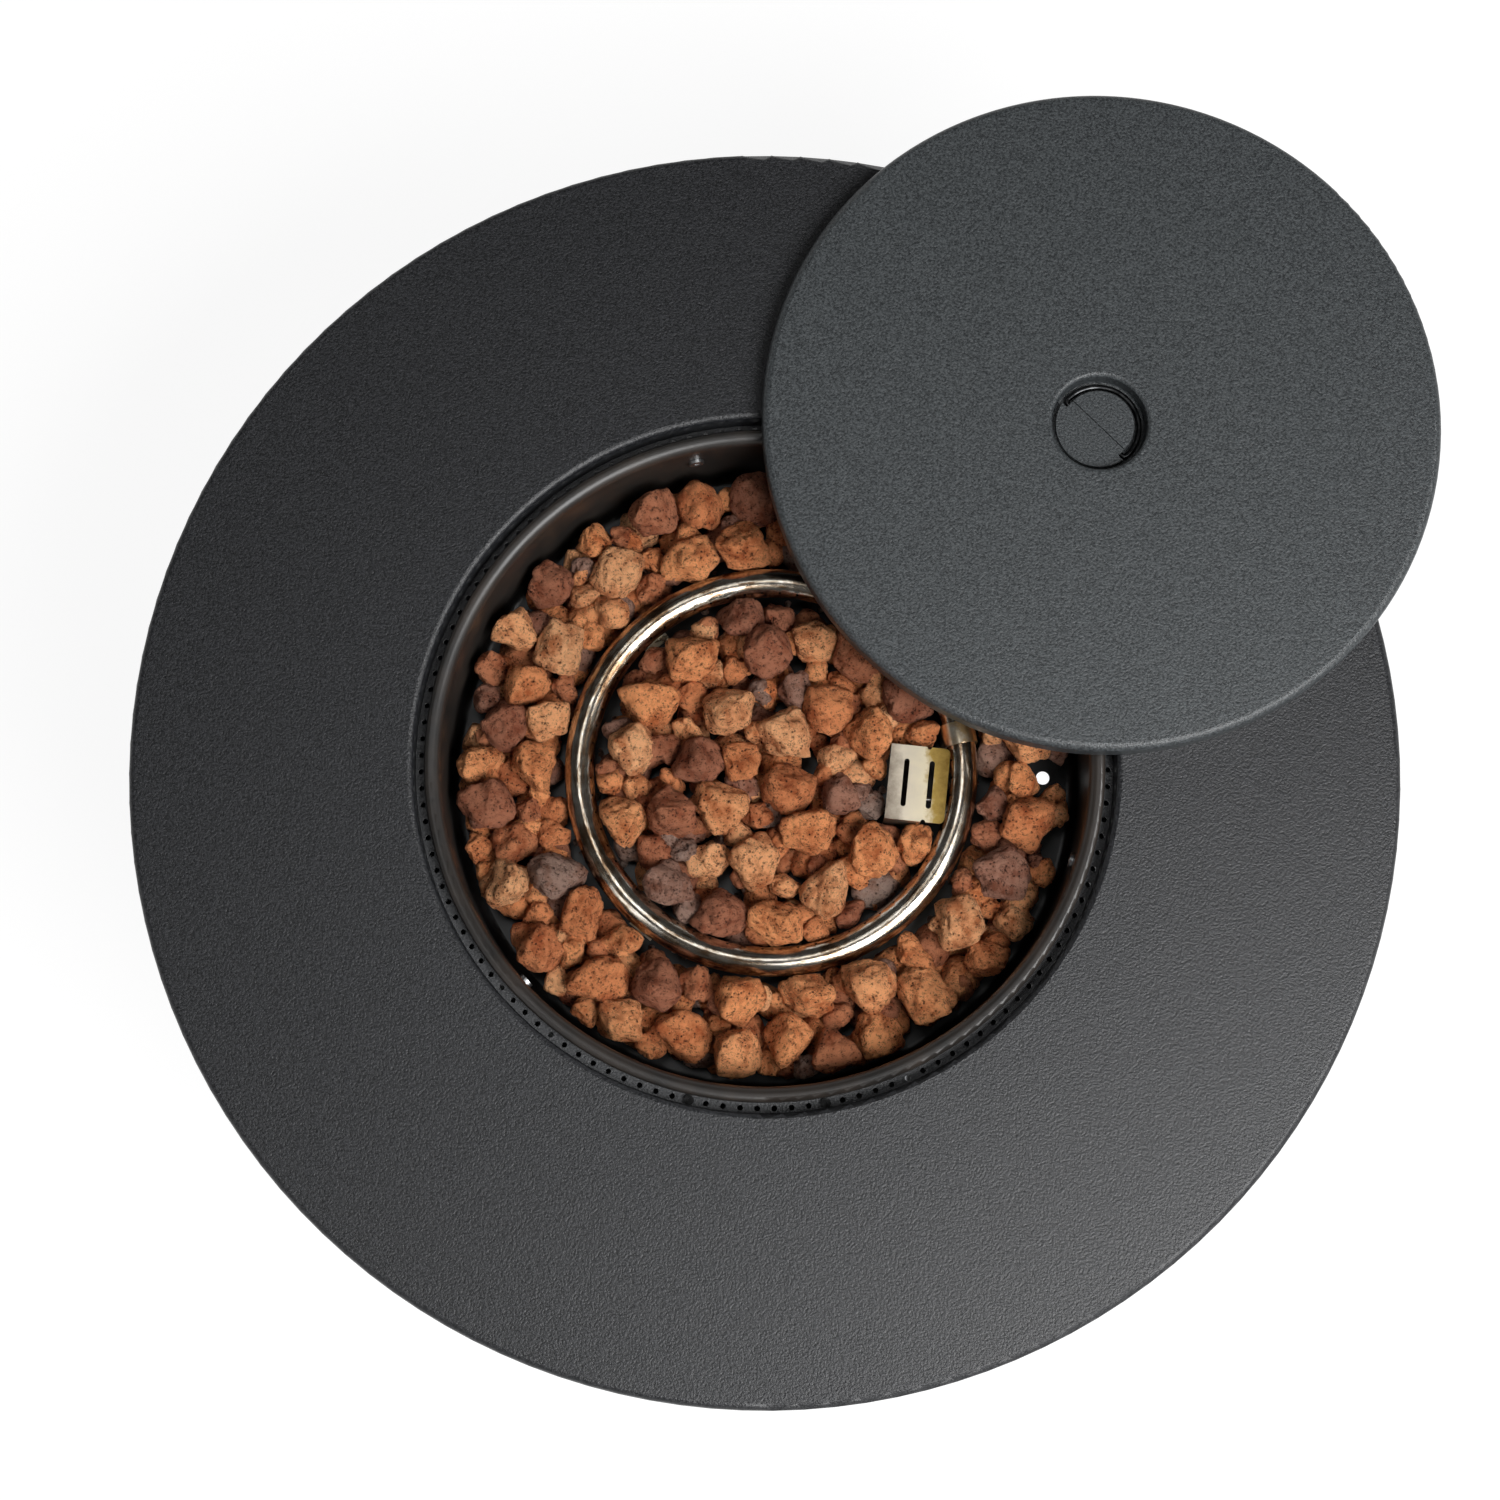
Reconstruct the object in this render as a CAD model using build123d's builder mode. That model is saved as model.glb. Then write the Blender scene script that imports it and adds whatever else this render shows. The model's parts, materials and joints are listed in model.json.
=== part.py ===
from build123d import *
import math
import os
import random

# Round gas fire table with a lift-off lid. All sizes are in millimetres.
# The floor is z = 0, the table's axis is the z axis and the controls face -Y.

# Table top
top_diameter = 900
top_height = 450
top_sheet = 2
top_skirt = 32
top_edge_radius = 4
opening_gap = 7.6
opening_edge_radius = 3
collar_depth = 20
rib_count = 6
rib_first_azimuth = 15
rib_width = 30
rib_sheet = 2
rib_collar_gap = 2
rib_skirt_gap = 8

# Drum under the top
drum_overhang = 31
drum_sheet = 2
drum_depth = 165
drum_flange = 44
ledge_bowl_gap = 1
vent_count = 128
vent_first_azimuth = -102.5
vent_diameter = 4
hose_notch_width = 56
hose_notch_depth = 40

# Fire bowl
bowl_inner_diameter = 461
bowl_sheet = 1.5
bowl_depth = 88
bowl_corner_radius = 8
lip_width = 10.9
lip_inner_roll = 6
lip_outer_roll = 2.5
lip_drop = 2.5
drain_diameter = 10
drain_count = 4
drain_inset = 24.5
bowl_screw_drop = 28
bowl_bracket_width = 30
bowl_bracket_reach = 28
bowl_bracket_height = 44
bowl_bracket_sheet = 2

# Ring burner
ring_diameter = 300
ring_tube = 21.3
ring_tube_wall = 1.6
ring_rise = 35
ring_offset = 5
half_ring_ports = 32
port_diameter = 2
port_lift = 35
riser_diameter = 17.2
riser_wall = 1.8
riser_azimuth = 40
riser_below = 26
riser_nut_width = 27
riser_nut_height = 8
support_width = 20
support_sheet = 2
support_foot = 20
support_first_azimuth = 130
support_step = 100
support_count = 3
strap_azimuth = 11
strap_width = 16
strap_sheet = 1.5

# Gas feed under the bowl
mixer_diameter = 25
mixer_length = 45
mixer_socket = 15
mixer_bore = 14
mixer_window_width = 7
mixer_window_height = 14
injector_width = 17
injector_height = 10
injector_nozzle_diameter = 8
injector_nozzle_height = 6
elbow_size = 14
gas_pipe_diameter = 8
gas_pipe_bend = 18
gas_pipe_side_run = 43
gas_pipe_back_run = 72

# Ignition in the bowl
shield_length = 55
shield_width = 43
shield_sheet = 1.2
shield_ring_gap = 0.8
shield_azimuth = -6
shield_rise = 44
shield_flange = 26
shield_corner = 4
slot_length = 35
slot_width = 3.8
slot_spacing = 18.3
notch_size = 3.4
ignition_bracket_height = 12
ignition_bracket_width = 20
ignition_bracket_length = 42
ignition_bracket_sheet = 1.2
ignition_spacing = 20
ignition_inset = 22
insulator_diameter = 7
insulator_height = 26
insulator_collar = 10
insulator_collar_height = 4
rod_diameter = 2.4
rod_reach = 16
rod_rise = 6
sheath_diameter = 6
sheath_height = 32
lead_hole_diameter = 9
spark_lead_diameter = 4.4
spark_lead_drop = 24
sensor_lead_diameter = 3
sensor_lead_drop = 8
lead_bend = 14
lead_run = 60

# Control panel on the drum
panel_width = 150
panel_height = 84
panel_sheet = 2
panel_stand = 8
panel_corner = 8
panel_drop = 112
panel_screw_inset = 8
window_width = 116
window_height = 68
control_spacing = 76

# Gas valve and knob
valve_size = 34
valve_length = 38
valve_boss_diameter = 22
valve_boss_length = 10
valve_front_wall = 3
plug_diameter = 17
plug_length = 27
magnet_diameter = 18
magnet_length = 26
port_boss_diameter = 16
port_boss_length = 8
port_boss_setback = 34
stem_diameter = 8
stem_flat = 3
stem_in_knob = 14
stem_in_plug = 12
knob_diameter = 44
knob_base_height = 6
knob_grip_width = 12
knob_grip_height = 17
knob_push = 5
knob_floor_gap = 2
bezel_diameter = 60
bezel_height = 2
bezel_hole_diameter = 30
stem_hole_clearance = 1.5
inlet_hex_width = 17
inlet_hex_height = 10
inlet_thread_diameter = 13.157
inlet_thread_length = 14
pipe_nut_width = 12
pipe_nut_length = 9
lead_nut_width = 10
lead_nut_length = 8

# Push igniter
igniter_diameter = 18
igniter_length = 60
igniter_flange_diameter = 28
igniter_flange_height = 3
button_diameter = 14
button_proud = 9
button_travel = 6
button_seat = 8
button_dome = 2
igniter_nut_width = 27
igniter_nut_height = 6

# Valve hanger and heat plate
hanger_edge = 7
hanger_sheet = 2
hanger_flange = 17
hanger_shelf = 22
hanger_nut_gap = 3
hanger_screw_slots = (0, 8)

# Legs
leg_azimuths = (102.5, -137.5, -17.5)
leg_diameter = 32
leg_wall = 2
leg_inset = 24
leg_splay = 60
leg_plate_length = 72
leg_plate_width = 40
leg_plate_sheet = 4
leg_bolt_spread = 52
leg_bolt_pitch = 18
foot_wall = 3
foot_brim = 1.5
foot_floor = 5
foot_height = 24
foot_clearance = 0.1

# Fasteners
m4_diameter = 4
m4_head_diameter = 8
m4_head_height = 2.5
m4_nut_width = 7
cap_head_diameter = 7
cap_head_height = 3
m6_diameter = 6
m6_head_diameter = 11
m6_head_height = 2.4
nut_height = 5
nut_width = 10
bolt_head_height = 4
bolt_tail = 3
screw_clearance = 0.3

# Lid with a recessed pull
lid_gap = 5.5
lid_height = 18
lid_sheet = 1.5
lid_edge_radius = 5
lid_x = 241.5
lid_y = 245.5
pocket_diameter = 68.4
pocket_depth = 15
pocket_bend = 2.5
pocket_roll = 2.4
pocket_rim_radius = 44
pocket_shift = (-1.6, -5)
pull_azimuth = -45
pull_plate_radius = 30.5
pull_plate_height = 6
bail_wire = 4
bail_radius = 29.5
bail_corner = 3.2
bail_inset = 3.3
bail_pin = 14
bail_floor_gap = 0.3
bail_straight = 0.05
bail_corner_gap = 0.8
rest_bail_gap = 2
rest_slit = 0.6

# Lava rocks
rock_seed = 12
lower_rock_sizes = (17, 13)
upper_rock_sizes = (20, 17, 14, 11, 9)
lower_rock_height = 3
upper_rock_height = 20
rock_lift = 0.75
rock_height_spread = 3
rock_tightness = 0.84
rock_sink = 0.6
rock_long = (1.35, 1.75)
rock_wide = (1.05, 1.3)
rock_flat = (0.75, 1)
rock_tries = 1600
rock_corners = 12
corner_rise_jitter = 0.9
corner_turn_jitter = 0.6
corner_reach = (0.9, 1.15)
rock_search = 3
rock_contacts = 3
rock_gap = 0.5
rock_fence_gap = 2
rock_shield_gap = 2
rock_standoff = 0.55
level_slope = 1e-6

# Fits
running_fit = 0.05
seat_gap = 0.2

# Heights and radii that follow from the sizes above
top_radius = top_diameter / 2
bowl_radius = bowl_inner_diameter / 2
bowl_outer_radius = bowl_radius + bowl_sheet
lip_radius = bowl_radius + lip_width
opening_radius = lip_radius + opening_gap
drum_radius = opening_radius + drum_overhang
leg_top_radius = drum_radius - leg_inset
leg_foot_radius = leg_top_radius + leg_splay
lid_radius = opening_radius - lid_gap
drain_radius = bowl_radius - drain_inset
ledge_top = top_height - collar_depth
ledge_under = ledge_top - drum_sheet
drum_bottom = ledge_top - drum_depth
drum_floor = drum_bottom + drum_sheet
lip_top = top_height - lip_drop
bowl_floor = lip_top - bowl_depth
bowl_under = bowl_floor - bowl_sheet
vent_radius = (lip_radius + opening_radius) / 2
vent_step = 360 / vent_count
ring_radius = (ring_diameter - ring_tube) / 2
ring_height = bowl_floor + ring_rise
ring_center = Vector(ring_offset, 0, ring_height)
panel_face = drum_radius + panel_stand
panel_middle = ledge_top - panel_drop
lid_top = top_height + lid_height
pocket_floor = lid_top - pocket_depth

CENTER_MIN = (Align.CENTER, Align.CENTER, Align.MIN)
pieces = {}


def polar(radius, azimuth, height, center=Vector(0, 0, 0)):
    """A point at a radius and azimuth about an upright axis."""
    angle = math.radians(azimuth)
    return Vector(center.X + radius * math.cos(angle), center.Y + radius * math.sin(angle), height)


def upright_plane(radius, azimuth, height, center=Vector(0, 0, 0)):
    """A level plane whose x axis points away from the axis."""
    outward = polar(1, azimuth, 0)
    return Plane(origin=polar(radius, azimuth, height, center), x_dir=outward, z_dir=(0, 0, 1))


def radial_plane(radius, azimuth, height, center=Vector(0, 0, 0)):
    """A plane that faces away from the axis, with its y axis upright."""
    outward = polar(1, azimuth, 0)
    sideways = polar(1, azimuth + 90, 0)
    return Plane(origin=polar(radius, azimuth, height, center), x_dir=sideways, z_dir=outward)


def panel_plane(x, out):
    """A plane parallel to the control panel's face, facing the front."""
    return Plane(origin=(x, -panel_face - out, panel_middle), x_dir=(1, 0, 0), z_dir=(0, -1, 0))


def sheet_section(points, radii, sheet):
    """The section of a bent sheet that follows a line through the middle of its thickness."""
    with BuildSketch(Plane.XZ) as section:
        with BuildLine():
            FilletPolyline(*points, radius=radii)
        trace(line_width=sheet)
    return section.sketch


def socket_screws(planes, head_diameter, head_height, diameter, length):
    """Screws with a hexagon socket, heads standing on their planes and shanks behind them."""
    with BuildPart() as screws:
        with BuildSketch(*planes):
            Circle(head_diameter / 2)
        extrude(amount=head_height)
        with BuildSketch(*planes):
            Circle(diameter / 2)
        extrude(amount=-length)
        with BuildSketch(*[plane.offset(head_height) for plane in planes]):
            RegularPolygon(diameter / 3, 6)
        extrude(amount=-head_height / 2, mode=Mode.SUBTRACT)
    return screws


def hex_bolts(planes, diameter, length):
    """Bolts with hexagon heads standing on their planes and shanks behind them."""
    with BuildPart() as bolts:
        with BuildSketch(*planes):
            RegularPolygon(nut_width / 2, 6, major_radius=False)
        extrude(amount=bolt_head_height)
        with BuildSketch(*planes):
            Circle(diameter / 2)
        extrude(amount=-length)
    return bolts


def hex_nuts(planes, diameter, width, height):
    """Nuts lying on their planes, with a bore that clears the thread."""
    with BuildPart() as nuts:
        with BuildSketch(*planes):
            RegularPolygon(width / 2, 6, major_radius=False)
            Circle(diameter / 2 + running_fit, mode=Mode.SUBTRACT)
        extrude(amount=height)
    return nuts


def tube_along(points, radii, diameter):
    """A round rod or lead along straight runs joined by tangent arcs."""
    with BuildPart() as rod:
        with BuildLine() as route:
            FilletPolyline(*points, radius=radii)
        with BuildSketch(Plane(origin=route.line @ 0, z_dir=route.line % 0)):
            Circle(diameter / 2)
        sweep(path=route.line)
    return rod


def d_shape(radius, flat):
    """A round section with one flat, shared by the valve stem and its socket."""
    Circle(radius)
    with Locations((0, radius)):
        Rectangle(2 * radius, 2 * (radius - flat), mode=Mode.SUBTRACT)


# Table top: a pressed ring with a skirt outside and a collar round the opening
half_top = top_sheet / 2
with BuildPart() as table_top:
    add(
        sheet_section(
            [
                (top_radius - half_top, top_height - top_skirt),
                (top_radius - half_top, top_height - half_top),
                (opening_radius + half_top, top_height - half_top),
                (opening_radius + half_top, ledge_top),
            ],
            [top_edge_radius, opening_edge_radius],
            top_sheet,
        )
    )
    revolve(axis=Axis.Z)
pieces["table_top"] = table_top

# Stiffening ribs: channels between the ledge and the top
rib_start = opening_radius + top_sheet + rib_collar_gap
rib_end = top_radius - top_sheet - rib_skirt_gap
rib_azimuths = [rib_first_azimuth + k * 360 / rib_count for k in range(rib_count)]
rib_height = collar_depth - top_sheet
with BuildPart() as top_ribs:
    with BuildSketch(*[radial_plane(rib_start, azimuth, ledge_top) for azimuth in rib_azimuths]):
        Rectangle(rib_width, rib_height, align=(Align.CENTER, Align.MIN))
        with Locations((0, rib_sheet)):
            Rectangle(rib_width - 2 * rib_sheet, rib_height, align=(Align.CENTER, Align.MIN), mode=Mode.SUBTRACT)
    extrude(amount=rib_end - rib_start)
    rib_bolt_radius = (rib_start + drum_radius - drum_sheet) / 2
    rib_bolt_tops = [upright_plane(rib_bolt_radius, azimuth, ledge_top) for azimuth in rib_azimuths]
    with BuildSketch(*rib_bolt_tops):
        Circle(m6_diameter / 2 + screw_clearance)
    extrude(amount=rib_sheet, mode=Mode.SUBTRACT)
pieces["top_ribs"] = top_ribs

# Drum: a rolled shell with a window for the controls
hanger_screw_azimuths = [vent_first_azimuth + slot * vent_step for slot in hanger_screw_slots]
hanger_screw_tops = [upright_plane(vent_radius, azimuth, ledge_top) for azimuth in hanger_screw_azimuths]
knob_x = control_spacing / 2
igniter_x = -control_spacing / 2
leg_bolt_spots = []
for azimuth in leg_azimuths:
    leg_seat = upright_plane(leg_top_radius, azimuth, drum_bottom)
    for radial in (-leg_bolt_pitch / 2, leg_bolt_pitch / 2):
        for sideways in (-leg_bolt_spread / 2, leg_bolt_spread / 2):
            leg_bolt_spots.append(leg_seat.from_local_coords(Vector(radial, sideways, 0)))
panel_screw_spots = [
    (x * (panel_width / 2 - panel_screw_inset), z * (panel_height / 2 - panel_screw_inset))
    for x in (-1, 1)
    for z in (-1, 1)
]
with BuildPart() as drum:
    with BuildSketch(Plane.XY.offset(drum_floor)):
        Circle(drum_radius)
        Circle(drum_radius - drum_sheet, mode=Mode.SUBTRACT)
    extrude(amount=ledge_under - drum_floor)
    with BuildSketch(panel_plane(0, 0)):
        Rectangle(window_width, window_height)
        with Locations(*panel_screw_spots):
            Circle(m4_diameter / 2 + screw_clearance)
    extrude(amount=-panel_stand - panel_width / 2, mode=Mode.SUBTRACT)
pieces["drum"] = drum

# Vent ledge: a perforated ring welded on the drum's head, which carries the bowl and the top
vent_slots = [slot for slot in range(vent_count) if slot not in hanger_screw_slots]
vent_spots = [polar(vent_radius, vent_first_azimuth + slot * vent_step, 0) for slot in vent_slots]
with BuildPart() as vent_ledge:
    with BuildSketch(Plane.XY.offset(ledge_under)):
        Circle(drum_radius)
        Circle(bowl_outer_radius + ledge_bowl_gap, mode=Mode.SUBTRACT)
        with Locations(*vent_spots):
            Circle(vent_diameter / 2, mode=Mode.SUBTRACT)
        with Locations(*[(plane.origin.X, plane.origin.Y) for plane in hanger_screw_tops]):
            Circle(m4_diameter / 2 + screw_clearance, mode=Mode.SUBTRACT)
        with Locations(*[(plane.origin.X, plane.origin.Y) for plane in rib_bolt_tops]):
            Circle(m6_diameter / 2 + screw_clearance, mode=Mode.SUBTRACT)
    extrude(amount=drum_sheet)
pieces["vent_ledge"] = vent_ledge

# Leg flange: a ring welded under the drum, with a notch for the gas hose
with BuildPart() as leg_flange:
    with BuildSketch(Plane.XY.offset(drum_bottom)):
        Circle(drum_radius)
        Circle(drum_radius - drum_flange, mode=Mode.SUBTRACT)
        with Locations(*[(spot.X, spot.Y) for spot in leg_bolt_spots]):
            Circle(m6_diameter / 2 + screw_clearance, mode=Mode.SUBTRACT)
        with Locations((knob_x, drum_flange - drum_radius)):
            Rectangle(hose_notch_width, hose_notch_depth, align=(Align.CENTER, Align.MAX), mode=Mode.SUBTRACT)
    extrude(amount=drum_sheet)
pieces["leg_flange"] = leg_flange

# Bolts that hold the ribs to the ledge, from below
rib_bolt_planes = [
    Plane(origin=polar(rib_bolt_radius, azimuth, ledge_under), z_dir=(0, 0, -1)) for azimuth in rib_azimuths
]
rib_bolt_length = drum_sheet + rib_sheet + nut_height + bolt_tail
pieces["rib_bolts"] = hex_bolts(rib_bolt_planes, m6_diameter, rib_bolt_length)
rib_nut_planes = [plane.offset(rib_sheet) for plane in rib_bolt_tops]
pieces["rib_nuts"] = hex_nuts(rib_nut_planes, m6_diameter, nut_width, nut_height)

# Fire bowl: a spun pan whose rolled lip stands on the ledge
half_bowl = bowl_sheet / 2
bowl_screw_height = lip_top - bowl_screw_drop
bowl_screw_planes = [
    Plane(origin=polar(bowl_radius - seat_gap, azimuth, bowl_screw_height), z_dir=polar(-1, azimuth, 0))
    for azimuth in leg_azimuths
]
riser_spot = polar(ring_radius, riser_azimuth, bowl_floor, ring_center)
shield_outer = ring_radius - ring_tube / 2 - shield_ring_gap
shield_inner = shield_outer - shield_width
ignition_plane = upright_plane(shield_outer - ignition_inset, shield_azimuth, bowl_floor, ring_center)
electrode_spot = ignition_plane.from_local_coords(Vector(0, -ignition_spacing / 2, 0))
sheath_spot = ignition_plane.from_local_coords(Vector(0, ignition_spacing / 2, 0))
with BuildPart() as fire_bowl:
    add(
        sheet_section(
            [
                (0, bowl_floor - half_bowl),
                (bowl_radius + half_bowl, bowl_floor - half_bowl),
                (bowl_radius + half_bowl, lip_top - half_bowl),
                (lip_radius - half_bowl, lip_top - half_bowl),
                (lip_radius - half_bowl, ledge_top),
            ],
            [bowl_corner_radius, lip_inner_roll, lip_outer_roll],
            bowl_sheet,
        )
    )
    revolve(axis=Axis.Z)
    with BuildSketch(Plane.XY.offset(bowl_under)):
        with PolarLocations(drain_radius, drain_count):
            Circle(drain_diameter / 2)
        with Locations((riser_spot.X, riser_spot.Y)):
            Circle(riser_diameter / 2 + screw_clearance)
        with Locations((electrode_spot.X, electrode_spot.Y), (sheath_spot.X, sheath_spot.Y)):
            Circle(lead_hole_diameter / 2)
    extrude(amount=bowl_sheet, mode=Mode.SUBTRACT)
    with BuildSketch(*bowl_screw_planes):
        Circle(m6_diameter / 2 + screw_clearance)
    extrude(amount=-seat_gap - 2 * bowl_sheet, mode=Mode.SUBTRACT)
pieces["fire_bowl"] = fire_bowl

# Brackets that tie the bowl's wall to the ledge, with the screws seen inside the bowl
bracket_start = bowl_outer_radius + seat_gap
half_bracket = bowl_bracket_sheet / 2
with BuildPart() as bowl_brackets:
    for azimuth in leg_azimuths:
        side = Plane(origin=(0, 0, 0), x_dir=polar(1, azimuth, 0), z_dir=polar(1, azimuth - 90, 0))
        with BuildSketch(side):
            with BuildLine():
                Polyline(
                    (bracket_start + bowl_bracket_reach, ledge_under - half_bracket),
                    (bracket_start + half_bracket, ledge_under - half_bracket),
                    (bracket_start + half_bracket, ledge_under - bowl_bracket_height),
                )
            trace(line_width=bowl_bracket_sheet)
        extrude(amount=bowl_bracket_width / 2, both=True)
    with BuildSketch(*bowl_screw_planes):
        Circle(m6_diameter / 2 + screw_clearance)
    extrude(amount=-bowl_bracket_reach / 2, mode=Mode.SUBTRACT)
    with BuildSketch(Plane.XY.offset(ledge_under - bowl_bracket_sheet)):
        with Locations(*vent_spots):
            Circle(vent_diameter / 2)
    extrude(amount=bowl_bracket_sheet, mode=Mode.SUBTRACT)
pieces["bowl_brackets"] = bowl_brackets
bowl_clamp = bowl_sheet + 2 * seat_gap + bowl_bracket_sheet
pieces["bowl_screws"] = socket_screws(
    bowl_screw_planes, m6_head_diameter, m6_head_height, m6_diameter, bowl_clamp + nut_height + bolt_tail
)
bowl_nut_planes = [
    radial_plane(bracket_start + bowl_bracket_sheet, azimuth, bowl_screw_height) for azimuth in leg_azimuths
]
pieces["bowl_nuts"] = hex_nuts(bowl_nut_planes, m6_diameter, nut_width, nut_height)

# Ring burner: two bent half tubes butted end to end, with a row of gas ports inside the crown
ring_axis = Axis((ring_center.X, 0, 0), (0, 0, 1))
port_planes = []
for k in range(half_ring_ports):
    port_azimuth = (k + 0.5) * 180 / half_ring_ports
    port_angle = math.radians(port_lift)
    port_way = polar(-math.cos(port_angle), port_azimuth, math.sin(port_angle))
    port_planes.append(Plane(origin=polar(ring_radius, port_azimuth, ring_height, ring_center), z_dir=port_way))
with BuildPart() as half_ring:
    with BuildSketch(Plane(origin=(ring_center.X, 0, 0), x_dir=(1, 0, 0), z_dir=(0, -1, 0))):
        with Locations((ring_radius, ring_height)):
            Circle(ring_tube / 2)
            Circle(ring_tube / 2 - ring_tube_wall, mode=Mode.SUBTRACT)
    revolve(axis=ring_axis, revolution_arc=180)
    with BuildSketch(*port_planes):
        Circle(port_diameter / 2)
    extrude(amount=ring_tube, mode=Mode.SUBTRACT)
with BuildPart() as ring_burner:
    add([half_ring.part, mirror(half_ring.part, about=Plane.XZ, mode=Mode.PRIVATE)], mode=Mode.REPLACE)
pieces["ring_burner"] = ring_burner

# Riser: the pipe from the gas feed, saddled under the ring
riser_end = bowl_under - riser_below
riser_top = ring_height - ring_tube / 4
with BuildPart() as burner_riser:
    with BuildSketch(Plane(origin=(riser_spot.X, riser_spot.Y, riser_end))):
        Circle(riser_diameter / 2)
        Circle(riser_diameter / 2 - riser_wall, mode=Mode.SUBTRACT)
    extrude(amount=riser_top - riser_end)
    with Locations(ring_center):
        Torus(ring_radius, ring_tube / 2, mode=Mode.SUBTRACT)
pieces["burner_riser"] = burner_riser
riser_nut_plane = Plane(origin=(riser_spot.X, riser_spot.Y, bowl_under - riser_nut_height))
pieces["riser_nut"] = hex_nuts([riser_nut_plane], riser_diameter, riser_nut_width, riser_nut_height)

# Feet that carry the ring above the bowl's floor
support_azimuths = [support_first_azimuth + k * support_step for k in range(support_count)]
with BuildPart() as burner_supports:
    for azimuth in support_azimuths:
        with Locations(upright_plane(ring_radius, azimuth, bowl_floor, ring_center)):
            Box(support_sheet, support_width, ring_rise, align=CENTER_MIN)
            Box(support_foot, support_width, support_sheet, align=CENTER_MIN)
    with Locations(ring_center):
        Torus(ring_radius, ring_tube / 2, mode=Mode.SUBTRACT)
pieces["burner_supports"] = burner_supports

# Strap over the ring beside the ignition shield
strap_plane = Plane(
    origin=ring_center, x_dir=polar(1, strap_azimuth, 0), z_dir=polar(1, strap_azimuth - 90, 0)
)
strap_outer = ring_tube / 2 + strap_sheet
with BuildPart() as burner_strap:
    with BuildSketch(strap_plane):
        with Locations((ring_radius, 0)):
            Circle(strap_outer)
            Rectangle(2 * strap_outer, ring_rise, align=(Align.CENTER, Align.MAX))
            Circle(ring_tube / 2, mode=Mode.SUBTRACT)
            Rectangle(ring_tube, ring_rise, align=(Align.CENTER, Align.MAX), mode=Mode.SUBTRACT)
    extrude(amount=strap_width / 2, both=True)
    with Locations(ring_center):
        Torus(ring_radius, ring_tube / 2, mode=Mode.SUBTRACT)
pieces["burner_strap"] = burner_strap

# Ignition shield: a slotted cover on two side flanges beside the ring
shield_top = bowl_floor + shield_rise
shield_plane = upright_plane((shield_inner + shield_outer) / 2, shield_azimuth, shield_top, ring_center)
with BuildPart() as igniter_shield:
    with BuildSketch(shield_plane.offset(-shield_sheet)) as shield_face:
        Rectangle(shield_width, shield_length)
        fillet(shield_face.vertices().group_by(Axis.X)[-1], shield_corner)
        with Locations((-slot_spacing / 2, 0), (slot_spacing / 2, 0)):
            SlotOverall(slot_length, slot_width, rotation=90, mode=Mode.SUBTRACT)
        with Locations(
            (shield_flange - shield_width / 2 + notch_size / 2, shield_length / 2),
            (shield_flange - shield_width / 2 + notch_size / 2, -shield_length / 2),
        ):
            Circle(notch_size / 2, mode=Mode.SUBTRACT)
    extrude(amount=shield_sheet)
    with BuildSketch(shield_plane.offset(-shield_sheet)):
        for side in (-1, 1):
            with Locations((-shield_width / 2, side * (shield_length - shield_sheet) / 2)):
                Rectangle(shield_flange, shield_sheet, align=(Align.MIN, Align.CENTER))
    extrude(amount=shield_sheet - shield_rise)
pieces["igniter_shield"] = igniter_shield

# Bracket on the bowl's floor that carries the electrode and the flame sensor
bracket_side = Plane(
    origin=ignition_plane.origin, x_dir=ignition_plane.x_dir, z_dir=-ignition_plane.y_dir
)
half_ignition = ignition_bracket_sheet / 2
bracket_leg = ignition_bracket_width / 2 - half_ignition
with BuildPart() as ignition_bracket:
    with BuildSketch(bracket_side):
        with BuildLine():
            Polyline(
                (-bracket_leg, 0),
                (-bracket_leg, ignition_bracket_height - half_ignition),
                (bracket_leg, ignition_bracket_height - half_ignition),
                (bracket_leg, 0),
            )
        trace(line_width=ignition_bracket_sheet)
    extrude(amount=ignition_bracket_length / 2, both=True)
    with BuildSketch(ignition_plane.offset(ignition_bracket_height)):
        with Locations((0, -ignition_spacing / 2)):
            Circle(insulator_diameter / 2 + screw_clearance)
        with Locations((0, ignition_spacing / 2)):
            Circle(sheath_diameter / 2 + screw_clearance)
    extrude(amount=-ignition_bracket_sheet, mode=Mode.SUBTRACT)
pieces["ignition_bracket"] = ignition_bracket

# Electrode: a ceramic tube on its collar, with a bent spark rod
bracket_top = bowl_floor + ignition_bracket_height
lead_start = bracket_top - ignition_bracket_sheet - insulator_collar_height
electrode_base = Plane(origin=(electrode_spot.X, electrode_spot.Y, lead_start))
with BuildPart() as electrode_insulator:
    with BuildSketch(electrode_base):
        Circle(insulator_diameter / 2)
    extrude(amount=insulator_height)
    with BuildSketch(electrode_base.offset(bracket_top - lead_start)):
        Circle(insulator_collar / 2)
    extrude(amount=insulator_collar_height)
    with BuildSketch(electrode_base):
        Circle(rod_diameter / 2 + running_fit)
    extrude(amount=insulator_height, mode=Mode.SUBTRACT)
pieces["electrode_insulator"] = electrode_insulator
rod_bend = lead_start + insulator_height + rod_rise
rod_tip = electrode_spot + polar(rod_reach, shield_azimuth, 0)
pieces["electrode_rod"] = tube_along(
    [
        (electrode_spot.X, electrode_spot.Y, lead_start),
        (electrode_spot.X, electrode_spot.Y, rod_bend),
        (rod_tip.X, rod_tip.Y, rod_bend),
    ],
    [rod_diameter],
    rod_diameter,
)

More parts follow.
